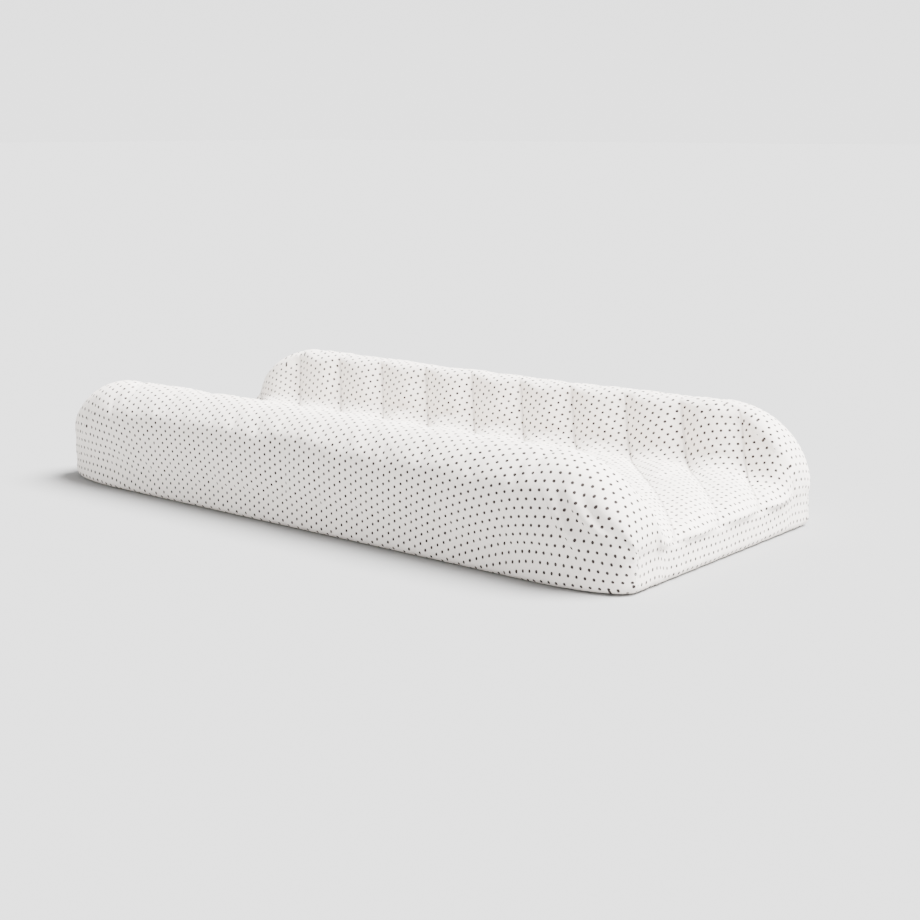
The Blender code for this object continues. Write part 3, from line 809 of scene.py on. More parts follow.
def make_cotton():
    material, tree, shader = new_material("cotton_print", 0.88)
    shader.inputs["Sheen Weight"].default_value = 0.04
    shader.inputs["Sheen Roughness"].default_value = 0.5
    shader.inputs["Specular IOR Level"].default_value = 0.12
    flat = node(tree, "ShaderNodeUVMap", uv_map="cloth").outputs[0]
    wander = node(tree, "ShaderNodeTexNoise", {"Vector": flat, "Scale": 420.0, "Detail": 1.0})
    offset = vector_calc(tree, "SUBTRACT", wander.outputs["Color"], (0.5, 0.5, 0.5))
    offset = vector_calc(tree, "SCALE", offset)
    offset.node.inputs["Scale"].default_value = PRINT_WANDER
    dots = use_group(tree, DOTS, Vector=vector_calc(tree, "ADD", flat, offset), Column=DOT_COLUMN,
                     Row=DOT_ROW, Radius=DOT_RADIUS, Edge=DOT_EDGE)
    weave = use_group(tree, WEAVE, Vector=flat, Thread=COTTON_THREAD, Slub=0.8)
    phase = node(tree, "ShaderNodeAttribute", attribute_name="crease_phase").outputs["Fac"]
    strength = node(tree, "ShaderNodeAttribute", attribute_name="crease_strength").outputs["Fac"]
    nearest = calc(tree, "ABSOLUTE", calc(tree, "SUBTRACT", phase, calc(tree, "ROUND", phase)))
    crease_dip_and_shade = node(tree, "ShaderNodeMapRange", {"Value": nearest, "From Min": 0.045, "From Max": 0.0},
                 interpolation_type="SMOOTHERSTEP").outputs[0]
    crease_dip_and_shade = calc(tree, "MULTIPLY", crease_dip_and_shade, strength)
    tone = node(tree, "ShaderNodeTexNoise", {"Vector": flat, "Scale": 26.0, "Detail": 3.0})
    ground = mix_colour(tree, calc(tree, "MULTIPLY", tone.outputs["Fac"], 0.5), COTTON_WHITE, COTTON_DEEP)
    thin = calc(tree, "MULTIPLY_ADD", weave.outputs["Shade"], 0.35, 0.10, clamp=True)
    ground = mix_colour(tree, thin, ground, COTTON_THIN)
    # Painted shade: the cotton is darkened along each crease; the same crease mask also sinks the crease in
    # the bump below.
    ground = mix_colour(tree, calc(tree, "MULTIPLY", crease_dip_and_shade, 0.42), ground, PAINTED_CREASE_SHADE)
    ink = mix_colour(tree, tone.outputs["Fac"], DOT_GREY, DOT_FADED)
    printed = mix_colour(tree, dots.outputs["Mask"], ground, ink)
    tree.links.new(printed, shader.inputs["Base Color"])
    fine = node(tree, "ShaderNodeBump", {"Strength": 0.28, "Distance": 0.00012,
                                         "Height": weave.outputs["Height"]})
    sunk = node(tree, "ShaderNodeBump", {"Strength": 0.8, "Distance": 0.0012, "Normal": fine.outputs[0],
                                         "Height": calc(tree, "SUBTRACT", 1.0, crease_dip_and_shade)})
    tree.links.new(sunk.outputs[0], shader.inputs["Normal"])
    return material


COTTON = make_cotton()
cover_mesh.materials.append(COTTON)
print("cotton print:", len(COTTON.node_tree.nodes), "nodes")


# %% Thickness of the cloth, and what the cover stands for
def thicken(obj, thickness, offset=0.0):
    solid = obj.modifiers.new("Thickness", "SOLIDIFY")
    solid.thickness = thickness
    solid.offset = offset
    solid.use_rim = True
    return solid


thicken(cover, CLOTH)
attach(cover, "cover")
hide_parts("fitted_cover", "cover_hem")


# %% [markdown]
# ## Finishes for everything under the cover
# Plastic, rubber, metal and vinyl all need the same two things: a tone that wanders a
# little, and a fine grain that catches light. One group gives both, and each finish sets
# its own scale. Woven finishes reuse the weave group at the thread size of their cloth.

# %% Group: tone and grain
def make_grain_group():
    group, start, end = new_group(
        "Tone and grain", [("Vector", "Vector", None), ("Tone Scale", "Float", 30.0),
                           ("Grain Scale", "Float", 1500.0)],
        [("Tone", "Float"), ("Grain", "Float")])
    tone = node(group, "ShaderNodeTexNoise", {"Vector": start.outputs["Vector"],
                                              "Scale": start.outputs["Tone Scale"], "Detail": 4.0})
    grain = node(group, "ShaderNodeTexVoronoi", {"Vector": start.outputs["Vector"],
                                                 "Scale": start.outputs["Grain Scale"]},
                 feature="SMOOTH_F1")
    group.links.new(tone.outputs["Fac"], end.inputs["Tone"])
    group.links.new(grain.outputs["Distance"], end.inputs["Grain"])
    return group


GRAIN = make_grain_group()
print("tone and grain:", len(GRAIN.nodes), "nodes")


# %% [markdown]
# ## Solid finishes
# Vinyl, rubber, foam, plastic and plated metal differ in tone, gloss and the size of their
# grain, and in little else. One function with those as its arguments keeps them alike in
# kind, and a list of calls then reads like a list of samples.

# %% Solid finishes
def solid_finish(name, light, dark, roughness, spread=0.08, metallic=0.0, tone_scale=30.0,
                 grain_scale=1500.0, grain_depth=0.00006, strength=0.5):
    """A moulded, cast or coated finish between a light and a dark tone."""
    material, tree, shader = new_material(name, roughness, metallic)
    place = node(tree, "ShaderNodeTexCoord").outputs["Object"]
    grain = use_group(tree, GRAIN, Vector=place, Tone_Scale=tone_scale, Grain_Scale=grain_scale)
    colour = mix_colour(tree, grain.outputs["Tone"], (*light, 1.0), (*dark, 1.0))
    tree.links.new(colour, shader.inputs["Base Color"])
    rough = calc(tree, "MULTIPLY_ADD", grain.outputs["Tone"], 2 * spread, roughness - spread, clamp=True)
    tree.links.new(rough, shader.inputs["Roughness"])
    bump = node(tree, "ShaderNodeBump", {"Strength": strength, "Distance": grain_depth,
                                         "Height": grain.outputs["Grain"]})
    tree.links.new(bump.outputs[0], shader.inputs["Normal"])
    return material


VINYL = solid_finish("quilted_vinyl", (0.56, 0.575, 0.59), (0.50, 0.515, 0.53), 0.42,
                     grain_scale=1100.0, grain_depth=0.00012)
BASE_VINYL = solid_finish("base_vinyl", (0.43, 0.46, 0.49), (0.36, 0.39, 0.42), 0.55,
                          grain_scale=700.0, grain_depth=0.00015)
PIPING = solid_finish("piping", (0.42, 0.44, 0.46), (0.36, 0.38, 0.40), 0.45, grain_scale=1400.0)
FOAM = solid_finish("foam", (0.88, 0.82, 0.60), (0.80, 0.71, 0.47), 0.92, grain_scale=620.0,
                    grain_depth=0.0006, strength=0.9)
RUBBER = solid_finish("grip_rubber", (0.035, 0.036, 0.038), (0.022, 0.023, 0.025), 0.70,
                      grain_scale=900.0, grain_depth=0.0001)
PLASTIC = solid_finish("buckle_plastic", (0.27, 0.275, 0.28), (0.22, 0.225, 0.23), 0.36,
                       grain_scale=2600.0, grain_depth=0.00003)
METAL = solid_finish("plated_metal", (0.66, 0.66, 0.67), (0.52, 0.52, 0.54), 0.30, metallic=1.0,
                     tone_scale=120.0, grain_scale=1800.0, grain_depth=0.00001)
COIL = solid_finish("zipper_coil", (0.86, 0.86, 0.85), (0.78, 0.78, 0.77), 0.40, tone_scale=300.0)
print("solid finishes made")


# %% [markdown]
# ## Woven finishes
# Webbing, zipper tape, elastic, thread and the label's satin are all one weave at different
# thread sizes. The threads run along the pad and across it, as the pieces themselves do, so
# the weave reads the piece's own coordinates, stretched where its threads are flatter.

# %% Woven finishes
def woven_finish(name, light, dark, thread, depth, roughness=0.85, stretch=(1.0, 1.0, 1.0), slub=0.4):
    """Cloth whose threads follow the piece's own X and Y directions."""
    material, tree, shader = new_material(name, roughness)
    shader.inputs["Sheen Weight"].default_value = 0.15
    place = node(tree, "ShaderNodeTexCoord").outputs["Object"]
    laid = node(tree, "ShaderNodeMapping", {"Vector": place, "Scale": stretch}).outputs[0]
    weave = use_group(tree, WEAVE, Vector=laid, Thread=thread, Slub=slub)
    # The colour follows the weave's height: painted shade in the dips where threads pass under, and the
    # yarn's own tone where it runs thin.
    colour = mix_colour(tree, weave.outputs["Height"], (*dark, 1.0), (*light, 1.0))
    tree.links.new(colour, shader.inputs["Base Color"])
    bump = node(tree, "ShaderNodeBump", {"Strength": 0.8, "Distance": depth,
                                         "Height": weave.outputs["Height"]})
    tree.links.new(bump.outputs[0], shader.inputs["Normal"])
    return material


WEBBING = woven_finish("webbing", (0.40, 0.40, 0.395), (0.22, 0.22, 0.215), 0.0013, 0.0004, 0.75,
                       stretch=(1.0, 0.55, 1.0))
TAPE = woven_finish("zipper_tape", (0.80, 0.80, 0.79), (0.66, 0.66, 0.65), 0.0006, 0.00015)
ELASTIC = woven_finish("elastic", (0.86, 0.85, 0.83), (0.66, 0.65, 0.63), 0.0008, 0.0003, 0.8,
                       stretch=(0.5, 1.0, 1.0))
LABEL = woven_finish("label", (0.92, 0.92, 0.91), (0.85, 0.85, 0.84), 0.0002, 0.00004, 0.5)
THREAD = woven_finish("thread", (0.90, 0.89, 0.87), (0.72, 0.71, 0.69), 0.00035, 0.0001, 0.6)
GREY_THREAD = woven_finish("grey_thread", (0.34, 0.35, 0.36), (0.20, 0.21, 0.22), 0.00035, 0.0001, 0.6)
print("woven finishes made")


# %% Give the frame's own pieces their finishes
def give_finish(material, *names):
    for name in names:
        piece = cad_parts[name]
        if not piece.material_slots:
            piece.data.materials.append(material)
        piece.material_slots[0].material = material


give_finish(BASE_VINYL, "base_panel")
give_finish(FOAM, "foam_core")
give_finish(WEBBING, "anchor_tab_head", "anchor_tab_foot", "belt_strap_front")
give_finish(VINYL, "belt_patch_front", "belt_patch_back")
give_finish(PLASTIC, "buckle_socket", "buckle_plug", "buckle_arm_left", "buckle_arm_right")
give_finish(METAL, "anchor_eyelet_head", "anchor_eyelet_foot", "zipper_slider", "zipper_pull",
            "zipper_top_stop_front", "zipper_top_stop_back", "zipper_bottom_stop")
give_finish(TAPE, "zipper_tape_front", "zipper_tape_back")
give_finish(LABEL, "care_label")
print("the frame's own pieces have their finishes")

# %% [markdown]
# ## The quilted pad under the cotton
# The foam wears a wipe-clean vinyl cover, sewn through in channels that run down both
# sides and across the valley. It is the same rule as the cotton cover, drawn a few
# millimetres further in, but padded: each channel is a deep narrow dip with a full crown
# on either side. The same short simulation with more pressure gives the crowns their life.

# %% Quilted top
QUILT_INSET = 0.0038
QUILT_WALL = 0.0020
QUILT_BASE = 0.0075
QUILT_ROWS = (16, 42)
QUILT_COLUMNS = (150, 14)
QUILT_DIP = 0.0019
QUILT_CROWN = 0.0009
QUILT_POWER = 3.4           # how full a crown is
QUILT_UNDER_BELT = 0.0012   # the belt presses its strip of the quilting flat
BELT_X = sum(corner.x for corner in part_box("belt_patch_front")) / 2

quilt_top = top_surface(QUILT_INSET, QUILT_FLOOR, QUILT_ROWS, QUILT_COLUMNS)
quilt_rim = rim_of(quilt_top)
quilt_skirt = [(0.0, h) for h in np.linspace(END_KEEP, QUILT_BASE, 8)[1:]]
quilt_rings = rings_below(quilt_top, quilt_rim, quilt_skirt, QUILT_BASE)
quilt_profile = full_profile(QUILT_INSET, QUILT_FLOOR, *QUILT_ROWS)
quilt_phase = crease_phase(quilt_top[:, :, 0], np.broadcast_to(quilt_profile[:, 0], quilt_top.shape[:2]))
quilt_edge = ramp(np.linalg.norm(quilt_profile - quilt_profile[0], axis=1), 0.0, 0.030)
quilt_strength = np.broadcast_to(np.minimum(quilt_edge, quilt_edge[::-1]), quilt_phase.shape)
quilt_lift = puffed(quilt_phase, quilt_strength, QUILT_DIP, QUILT_CROWN, QUILT_POWER)
from_belt = np.abs(quilt_top[:, :, 0] - BELT_X)
under_belt = (1 - ramp(from_belt, 0.023, 0.036)) * (1 - ramp(np.abs(quilt_top[:, :, 1]), 0.094, 0.110))
quilt_lift = quilt_lift * (1 - under_belt) - QUILT_UNDER_BELT * under_belt
quilt_form = quilt_top + grid_normals(quilt_top) * quilt_lift[:, :, None]
quilt_grid, quilt_numbers = panel_numbers(*quilt_top.shape[:2], quilt_rim, len(quilt_rings))
quilt_faces = np.concatenate(panel_faces(quilt_grid, quilt_numbers))
quilt_points = np.vstack([quilt_form.reshape(-1, 3), quilt_rings.reshape(-1, 3)])
quilt = add_piece("quilted_pad", new_mesh("quilted_pad", quilt_points, quilt_faces), VINYL)
print("quilted pad:", len(quilt_points), "points")

# %% Let the quilting swell
quilt_near = np.abs(quilt_phase - np.round(quilt_phase)) * CREASE_PITCH
quilt_pins = np.concatenate([((quilt_near < 0.003) | (under_belt > 0)).astype(float).ravel(),
                             np.ones(quilt_rings.size // 3)])
shift = settle_cloth(quilt, quilt_pins, 4.0, 0.010, 12, 0.0007)
print("quilting moved, mm: most", (np.linalg.norm(shift, axis=1).max() * 1000).round(2))
quilt_points = quilt_points + shift

# %% [markdown]
# ## The quilting stays under the cotton
# The two covers are drawn and settled apart, so a full crown could come through the cotton
# over it. For each point of the quilting, a search tree of the cotton's faces tells how deep
# it lies, and a point that is too shallow is pressed in.

# %% Keep the quilting under the cotton
QUILT_GAP = 0.0014


def depths_under(points, shell):
    """How far each point lies inside a shell, and the shell's outward direction there."""
    found = [shell.find_nearest(Vector(point)) for point in points]
    places = np.array([tuple(hit[0]) for hit in found])
    outward = np.array([tuple(hit[1]) for hit in found])
    return ((places - points) * outward).sum(axis=1), outward


cotton_shell = BVHTree.FromPolygons(cover_points.tolist(), cover_faces.tolist())
for _ in range(3):
    depth, outward = depths_under(quilt_points, cotton_shell)
    quilt_points = quilt_points - outward * np.maximum(QUILT_GAP - depth, 0.0)[:, None]
depth, outward = depths_under(quilt_points, cotton_shell)
print("least gap between cotton and quilting, mm:", (depth.min() * 1000).round(2))
quilt.data.vertices.foreach_set("co", quilt_points.ravel())
thicken(quilt, QUILT_WALL, -1.0)
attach(quilt, "pad")
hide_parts("quilted_top")


# %% [markdown]
# ## Round bands that follow the pad's outline
# The piping and the elastic are both long closed bands. A curve with a bevel would do for
# a round cord, but the elastic is flat and rises and falls with the gathers, so one
# function sweeps any small outline along a ring of points and closes the tube.

# %% Sweep an outline along a closed ring
def swept_ring(name, ring, outline, material):
    """A closed tube; the outline is (outwards, upwards) from the ring, counter-clockwise."""
    after, before = np.roll(ring, -1, axis=0), np.roll(ring, 1, axis=0)
    out = np.cross((after - before) * [1, 1, 0], (0, 0, 1.0))
    out /= np.linalg.norm(out, axis=1, keepdims=True)
    outline = np.array(outline)
    points = ring[:, None] + out[:, None] * outline[None, :, :1]
    points[:, :, 2] += outline[None, :, 1]
    count, sides = points.shape[:2]
    numbers = np.arange(count * sides).reshape(count, sides)
    beside, ahead = np.roll(numbers, -1, axis=1), np.roll(numbers, -1, axis=0)
    faces = np.stack([numbers, ahead, np.roll(ahead, -1, axis=1), beside], -1).reshape(-1, 4)
    mesh = new_mesh(name, points.reshape(-1, 3), faces)
    return add_piece(name, mesh, material)


def oval(width, height, sides, squareness=1.0):
    turns = [2 * pi * k / sides for k in range(sides)]
    return [(width / 2 * np.sign(cos(t)) * abs(cos(t)) ** squareness,
             height / 2 * np.sign(sin(t)) * abs(sin(t)) ** squareness) for t in turns]


# %% Piping and elastic
PIPING_RADIUS = 0.0020
PIPING_HEIGHT = 0.0050
PIPING_INSET = 0.0058
FLANGE_REACH = 0.0110       # the cord's seam allowance, caught between the base and the foam
FLANGE_HALF = 0.0003
ELASTIC_INSET = 0.0383
ELASTIC_SIZE = (0.0060, 0.0010)

piping_ring = ring_at(cover_top, cover_rim, PIPING_INSET, PIPING_HEIGHT, PIPING_HEIGHT)
round_part = [(PIPING_RADIUS * cos(t), PIPING_RADIUS * sin(t)) for t in np.linspace(-2.85, 2.85, 12)]
flange = [(-FLANGE_REACH, FLANGE_HALF), (-FLANGE_REACH, -FLANGE_HALF)]
piping = swept_ring("edge_piping_cord", piping_ring[::2], round_part + flange, PIPING)
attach(piping, "pad")
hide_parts("edge_piping")

elastic_ring = ring_at(cover_top, cover_rim, ELASTIC_INSET, cover_low_z, cover_low_z)
elastic_ring[:, 2] = ELASTIC_SIZE[1] / 2 + 0.0001 + GATHER_UP * gather_wave(cover_rings_plain)
elastic = swept_ring("gathered_elastic", elastic_ring, oval(*ELASTIC_SIZE, 8, 0.4), ELASTIC)
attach(elastic, "cover")
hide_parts("hem_elastic")
print("piping", len(piping.data.polygons), "faces, elastic", len(elastic.data.polygons))

# %% [markdown]
# ## Stitches, teeth and nubs
# These repeat hundreds of times, which is work for Geometry Nodes. A tree takes a path or
# a size, puts a small shape at every step, makes the copies real and gives them their
# material. The result is turned into a plain mesh, so nothing is left to evaluate later.

# %% Tree: small shapes along a path
def new_tree(name, inputs):
    tree = bpy.data.node_groups.new(name, "GeometryNodeTree")
    for label, kind in inputs:
        tree.interface.new_socket(label, in_out="INPUT", socket_type="NodeSocket" + kind)
    tree.interface.new_socket("Geometry", in_out="OUTPUT", socket_type="NodeSocketGeometry")
    return tree, tree.nodes.new("NodeGroupInput").outputs, tree.nodes.new("NodeGroupOutput").inputs


def finish_tree(tree, given, result, points, shape, rotation=None, scale=None, extra=None):
    """Put the shape on the points, make the copies real and give them their material."""
    inputs = {"Points": points, "Instance": shape}
    if rotation is not None:
        inputs["Rotation"] = rotation
    if scale is not None:
        inputs["Scale"] = scale
    copies = node(tree, "GeometryNodeInstanceOnPoints", inputs)
    together = node(tree, "GeometryNodeJoinGeometry")
    for part in (copies.outputs[0], extra):
        if part is not None:
            tree.links.new(part, together.inputs[0])
    real = node(tree, "GeometryNodeRealizeInstances", {"Geometry": together.outputs[0]})
    coated = node(tree, "GeometryNodeSetMaterial", {"Geometry": real.outputs[0],
                                                    "Material": given["Material"]})
    tree.links.new(coated.outputs[0], result["Geometry"])
    return tree


def make_stitch_tree():
    tree, given, result = new_tree("Run of stitches", [
        ("Geometry", "Geometry"), ("Pitch", "Float"), ("Size", "Vector"), ("Material", "Material")])
    path = node(tree, "GeometryNodeMeshToCurve", {"Mesh": given["Geometry"]})
    steps = node(tree, "GeometryNodeResampleCurve", {"Curve": path.outputs[0], "Length": given["Pitch"]},
                 mode="LENGTH")
    along = node(tree, "FunctionNodeAlignRotationToVector",
                 {"Vector": node(tree, "GeometryNodeInputTangent").outputs[0]}, axis="X")
    bead = node(tree, "GeometryNodeMeshUVSphere", {"Segments": 6, "Rings": 4, "Radius": 0.5})
    return finish_tree(tree, given, result, steps.outputs[0], bead.outputs[0], along.outputs[0],
                       given["Size"])


def make_nub_tree():
    tree, given, result = new_tree("Field of nubs", [
        ("Geometry", "Geometry"), ("Length", "Float"), ("Width", "Float"), ("Columns", "Int"),
        ("Rows", "Int"), ("Size", "Vector"), ("Middle", "Vector"), ("Plate", "Vector"),
        ("Plate Middle", "Vector"), ("Material", "Material")])
    field = node(tree, "GeometryNodeMeshGrid", {
        "Size X": given["Length"], "Size Y": given["Width"], "Vertices X": given["Columns"],
        "Vertices Y": given["Rows"]})
    placed = node(tree, "GeometryNodeTransform", {"Geometry": field.outputs[0],
                                                  "Translation": given["Middle"]})
    bead = node(tree, "GeometryNodeMeshUVSphere", {"Segments": 8, "Rings": 4, "Radius": 0.5})
    plate = node(tree, "GeometryNodeMeshCube", {"Size": given["Plate"]})
    plate = node(tree, "GeometryNodeTransform", {"Geometry": plate.outputs[0],
                                                 "Translation": given["Plate Middle"]})
    return finish_tree(tree, given, result, placed.outputs[0], bead.outputs[0], None, given["Size"],
                       extra=plate.outputs[0])


STITCHES = make_stitch_tree()
NUBS = make_nub_tree()
print("trees:", STITCHES.name, "and", NUBS.name)


# %% Run a tree and keep the plain mesh
def grown(name, base, tree, body, slot=None, **inputs):
    """Evaluate a tree on a base mesh and return its result as one plain piece."""
    holder = add_piece(name, base)
    modifier = holder.modifiers.new("Nodes", "NODES")
    modifier.node_group = tree
    sockets = {item.name: item.identifier for item in tree.interface.items_tree
               if item.item_type == "SOCKET" and item.in_out == "INPUT"}
    for label, value in inputs.items():
        modifier[sockets[label.replace("_", " ")]] = value
    holder.update_tag()
    bpy.context.view_layer.update()
    evaluated = holder.evaluated_get(bpy.context.evaluated_depsgraph_get())
    mesh = bpy.data.meshes.new_from_object(evaluated)
    holder.modifiers.remove(modifier)
    holder.data = mesh
    mesh.name = name
    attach(holder, body)
    print(name, len(mesh.polygons), "faces")
    return holder


def path_mesh(name, paths):
    """One mesh of loose edges from several lists of points."""
    points, edges = [], []
    for path in paths:
        start = len(points)
        points += [tuple(float(v) for v in point) for point in path]
        edges += [(start + k, start + k + 1) for k in range(len(path) - 1)]
    mesh = bpy.data.meshes.new(name)
    mesh.from_pydata(points, edges, [])
    return mesh


def stitched(name, paths, body, pitch=0.0032, length=0.0022, thickness=0.0006, thread=THREAD):
    return grown(name, path_mesh(name, paths), STITCHES, body, Pitch=pitch,
                 Size=(length, thickness, thickness), Material=thread)


# %% [markdown]
# ## Stitches of the cotton cover
# The skirt is sewn up at its four corners, and the hem is a casing with the elastic inside.
# Both seams follow points that the cover's rings already hold, so their paths are read from
# the rings and not drawn again.

# %% Stitches of the cotton cover: corner seams and hem
def ring_path(ring, low=0.0):
    closed = np.vstack([ring, ring[:1]])
    return closed + [0, 0, low]


corner_numbers = [int(np.nonzero((cover_rim == corner).all(1))[0][0]) for corner in (
    (0, 0), (0, cover_top.shape[1] - 1), (cover_top.shape[0] - 1, 0),
    (cover_top.shape[0] - 1, cover_top.shape[1] - 1))]
corner_paths = []
for number in corner_numbers:
    for beside in (-1, 1):
        line = cover_rings[1:SKIRT_ROWS + TURN_ROWS + 4, (number + beside) % len(cover_rim)].copy()
        line[:, 0] *= 1 + (CLOTH / 2 + 0.0001) / PAD_LENGTH * 2
        line[:, 2] -= 0.0003 * ramp(np.arange(len(line)), SKIRT_ROWS, SKIRT_ROWS + TURN_ROWS)
        corner_paths.append(line)
stitched("cover_corner_stitches", corner_paths, "cover", pitch=0.0030, length=0.0021, thickness=0.0005)
hem_ring = cover_rings[SKIRT_ROWS + TURN_ROWS + 4]
stitched("cover_hem_stitches", [ring_path(hem_ring, -CLOTH / 2)], "cover", thickness=0.0004)

# %% [markdown]
# ## Stitches of the quilting
# Each channel is one seam right across the pad. The quilting's phase is a whole number along
# a channel, so the seam's path is found by walking across the rows and reading off where
# that number falls, on the settled surface.

# %% Stitches of the quilting
def channel_paths():
    """Lines down the middle of each channel, from the back edge to the front edge."""
    paths = []
    rows = range(3, quilt_top.shape[1] - 3)
    form = quilt_points[:quilt_top.shape[0] * quilt_top.shape[1]].reshape(quilt_top.shape)
    for number in range(int(quilt_phase.min()), int(quilt_phase.max()) + 1):
        path = []
        for r in rows:
            phases = quilt_phase[:, r]
            if phases[0] < number < phases[-1]:
                column = np.interp(number, phases, np.arange(len(phases)))
                low = int(column)
                share = column - low
                path.append(form[low, r] * (1 - share) + form[low + 1, r] * share)
            elif path:
                break
        if len(path) > 4:
            paths.append(np.array(path) + [0, 0, 0.0002])
    return paths


stitched("quilting_stitches", channel_paths(), "pad", pitch=0.0040, length=0.0028, thickness=0.0007,
         thread=GREY_THREAD)

# %% [markdown]
# ## Stitches of the belt
# The patches are sewn down round their edges, and the webbing is sewn on to them with a box
# and a cross, which spreads the pull over many threads. A box is a closed square and two lines
# that cross in it, and the same tree of stitches runs along all three.

# %% Stitches of the belt
STITCH_MARGIN = 0.003
SEWN_FROM, SEWN_TO = 0.0590, 0.0800     # distance from the middle where the webbing is sewn down
WEB_LIFT = 0.0018                       # top of the sewn webbing above its patch


def stitch_box(x0, x1, y0, y1, z):
    """A square of stitches, and the two that cross in it."""
    corners = [(x0, y0, z), (x1, y0, z), (x1, y1, z), (x0, y1, z)]
    return [corners + corners[:1], [corners[0], corners[2]], [corners[1], corners[3]]]


patch_paths, sewn_paths = [], []
for name in ("belt_patch_front", "belt_patch_back"):
    low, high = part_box(name)
    square = stitch_box(low.x + STITCH_MARGIN, high.x - STITCH_MARGIN, low.y + STITCH_MARGIN,
                        high.y - STITCH_MARGIN, high.z + 0.0001)[0]
    patch_paths.append(square)
stitched("belt_patch_stitches", patch_paths, "pad", pitch=0.0028, length=0.0020, thickness=0.0005,
         thread=GREY_THREAD)
web_low, web_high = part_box("belt_strap_front")
web_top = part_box("belt_patch_front")[1].z + WEB_LIFT
for side in (-1, 1):
    near, far = sorted((side * SEWN_FROM, side * SEWN_TO))
    sewn_paths += stitch_box(web_low.x + STITCH_MARGIN, web_high.x - STITCH_MARGIN, near, far, web_top)
stitched("belt_box_stitches", sewn_paths, "pad", pitch=0.0026, length=0.0019, thickness=0.0006,
         thread=GREY_THREAD)

# %% [markdown]
# ## The free half of the belt
# Its far end is sewn down and its loop goes with the buckle's plug, so when the plug is
# pulled out the webbing between them goes slack. Bending it would need a simulation for
# each pose. Here the piece is the frame's webbing with its corners joined, carried with the pad.

# %% The free half of the belt, copied from the frame
def merged_copy(name, node_name):
    """A copy of a frame piece's mesh with its loose triangles joined at their corners."""
    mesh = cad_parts[node_name].data.copy()
    mesh.name = name
    shape = bmesh.new()
    shape.from_mesh(mesh)
    bmesh.ops.remove_doubles(shape, verts=shape.verts, dist=0.00001)
    shape.to_mesh(mesh)
    shape.free()
    return mesh


slack_mesh = merged_copy("belt_webbing_back", "belt_strap_back")
slack_mesh.materials.clear()
slack = add_piece("belt_webbing_back", slack_mesh, WEBBING)
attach(slack, "pad")
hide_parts("belt_strap_back")
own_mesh(slack)

# %% [markdown]
# ## Zipper teeth
# A coil zipper is a nylon spiral sewn to each tape, whose loops hook into each other. From a
# hand's breadth away it reads as two rows of close beads, so the stitch tree makes it too:
# a straight path down each row, with a bead at every turn of the coil.

# %% Zipper teeth
TOOTH_PITCH = 0.0017
TOOTH_SIZE = (0.0010, 0.0027, 0.0024)
for side in ("front", "back"):
    low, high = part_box(f"zipper_coil_{side}")
    y, z = (low.y + high.y) / 2, (low.z + high.z) / 2
    teeth = grown(f"zipper_teeth_{side}", path_mesh("teeth", [[(low.x, y, z), (high.x, y, z)]]),
                  STITCHES, "pad", slot="zipper_coil", Pitch=TOOTH_PITCH, Size=TOOTH_SIZE, Material=COIL)
    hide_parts(f"zipper_coil_{side}")

# %% [markdown]
# ## Grip strips
# The base has three rubber strips that keep the pad from sliding, each a thin plate with
# rows of small nubs that touch the surface below. The second tree lays out the rows and the
# plate from the strip's length and width, so one tree makes all three.

# %% Grip strips, each a thin plate with a field of nubs under it
NUB_GAP = 0.0075
NUB_SIZE = (0.0034, 0.0034, 0.0022)
PLATE_BOTTOM = 0.0009
for number in (1, 2, 3):
    name = f"grip_strip_{number}"
    low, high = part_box(name)
    length, width = high.x - low.x - NUB_GAP, high.y - low.y - NUB_GAP
    middle = ((low.x + high.x) / 2, (low.y + high.y) / 2)
    strip = grown(f"grip_nubs_{number}", path_mesh("nubs", [[(0, 0, 0), (0, 0, 0.001)]]), NUBS, "pad",
                  slot="grip_rubber", Length=length, Width=width, Columns=int(length / NUB_GAP) + 1,
                  Rows=int(width / NUB_GAP) + 1, Size=NUB_SIZE, Middle=(*middle, NUB_SIZE[2] / 2),
                  Plate=(high.x - low.x, high.y - low.y, high.z - PLATE_BOTTOM),
                  Plate_Middle=(*middle, (high.z + PLATE_BOTTOM) / 2), Material=RUBBER)
    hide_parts(name)


# %% [markdown]
# ## Floor, light and camera
# The pad is light on light, so the light does the drawing. One very soft sun from above and
# to the right leaves the faces turned to us a step darker than the tops. The sky is as
# bright as the lit floor at its horizon, so floor and sky meet without a line, and darker
# overhead, so the soft shadows keep their depth. The camera stands a little above the pad.

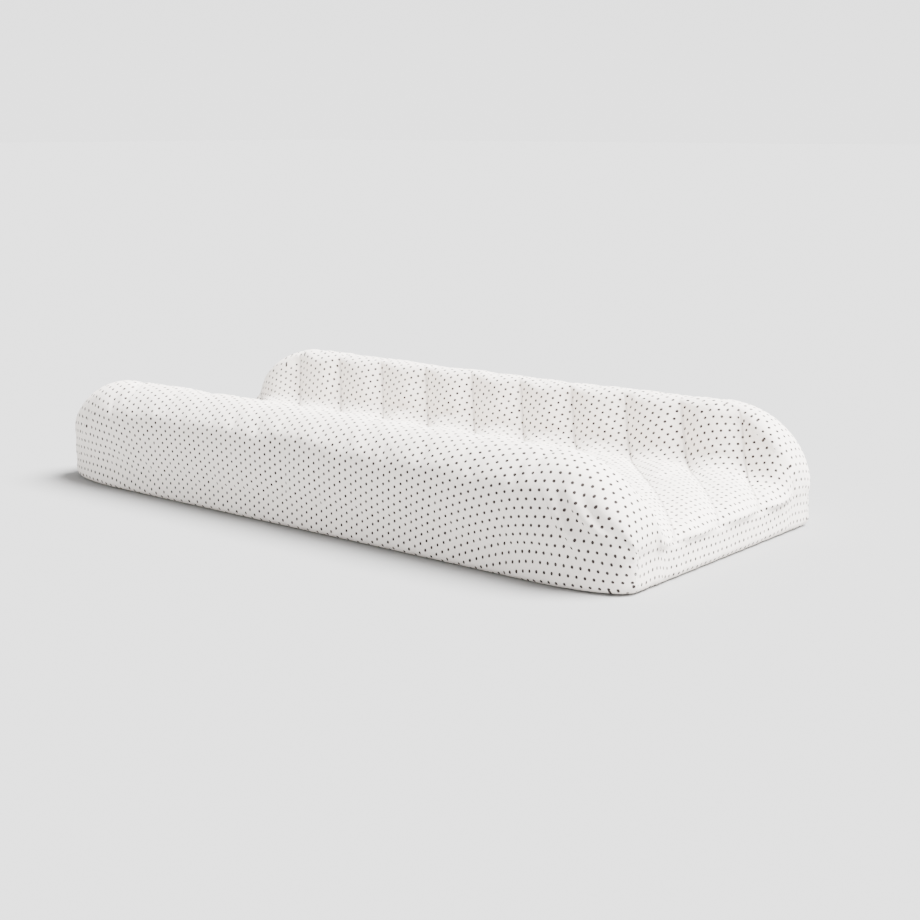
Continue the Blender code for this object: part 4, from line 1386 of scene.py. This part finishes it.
# %% Floor
def make_floor():
    bpy.ops.mesh.primitive_plane_add(size=60.0, location=(0, 0, 0))
    floor = bpy.context.object
    floor.name = "floor"
    material, tree, shader = new_material("floor_paint", 0.9)
    shader.inputs["Base Color"].default_value = (0.345, 0.345, 0.345, 1.0)
    shader.inputs["Specular IOR Level"].default_value = 0.0
    floor.data.materials.append(material)
    return floor


print("floor:", make_floor().name)


# %% Sky
def make_sky(horizon, overhead, spread, tint=(1.0, 1.0, 1.0)):
    """A sky as bright as the floor at the horizon, falling to its overhead brightness."""
    world = bpy.data.worlds.new("studio")
    world.use_nodes = True
    tree = world.node_tree
    place = node(tree, "ShaderNodeTexCoord").outputs["Generated"]
    height = node(tree, "ShaderNodeSeparateXYZ", {0: place}).outputs["Z"]
    brightness = node(tree, "ShaderNodeMapRange", {
        "Value": height, "From Min": 0.0, "From Max": spread, "To Min": horizon, "To Max": overhead},
        interpolation_type="SMOOTHSTEP").outputs[0]
    background = tree.nodes["Background"]
    background.inputs["Color"].default_value = (*tint, 1.0)
    tree.links.new(brightness, background.inputs["Strength"])
    bpy.context.scene.world = world


# %% Sun
def add_sun(name, direction, strength, softness):
    data = bpy.data.lights.new(name, "SUN")
    data.energy = strength
    data.angle = radians(softness)
    lamp = bpy.data.objects.new(name, data)
    lamp.rotation_euler = Vector(direction).to_track_quat("Z", "Y").to_euler()
    bpy.context.scene.collection.objects.link(lamp)


SUN_DIRECTION = (0.42, 0.30, 0.86)
make_sky(horizon=2.55, overhead=0.90, spread=0.55)
add_sun("key_sun", SUN_DIRECTION, strength=25.0, softness=36.0)
print("sky and sun:", bpy.context.scene.world.name, "and", "key_sun")


# %% Camera
CAMERA_PLACE = (1.1607, -1.3305, 0.4208)
CAMERA_TURN = 39.55         # degrees round from looking straight across the pad
CAMERA_DIP = 12.04          # degrees below the level
CAMERA_LENS = 61.7          # millimetres, on a 36 mm sensor

camera_data = bpy.data.cameras.new("camera")
camera_data.lens = CAMERA_LENS
camera = bpy.data.objects.new("camera", camera_data)
camera.location = CAMERA_PLACE
camera.rotation_euler = (radians(90 - CAMERA_DIP), 0.0, radians(CAMERA_TURN))
bpy.context.scene.collection.objects.link(camera)
bpy.context.scene.camera = camera
print("camera looks down", CAMERA_DIP, "degrees through", CAMERA_LENS, "mm")
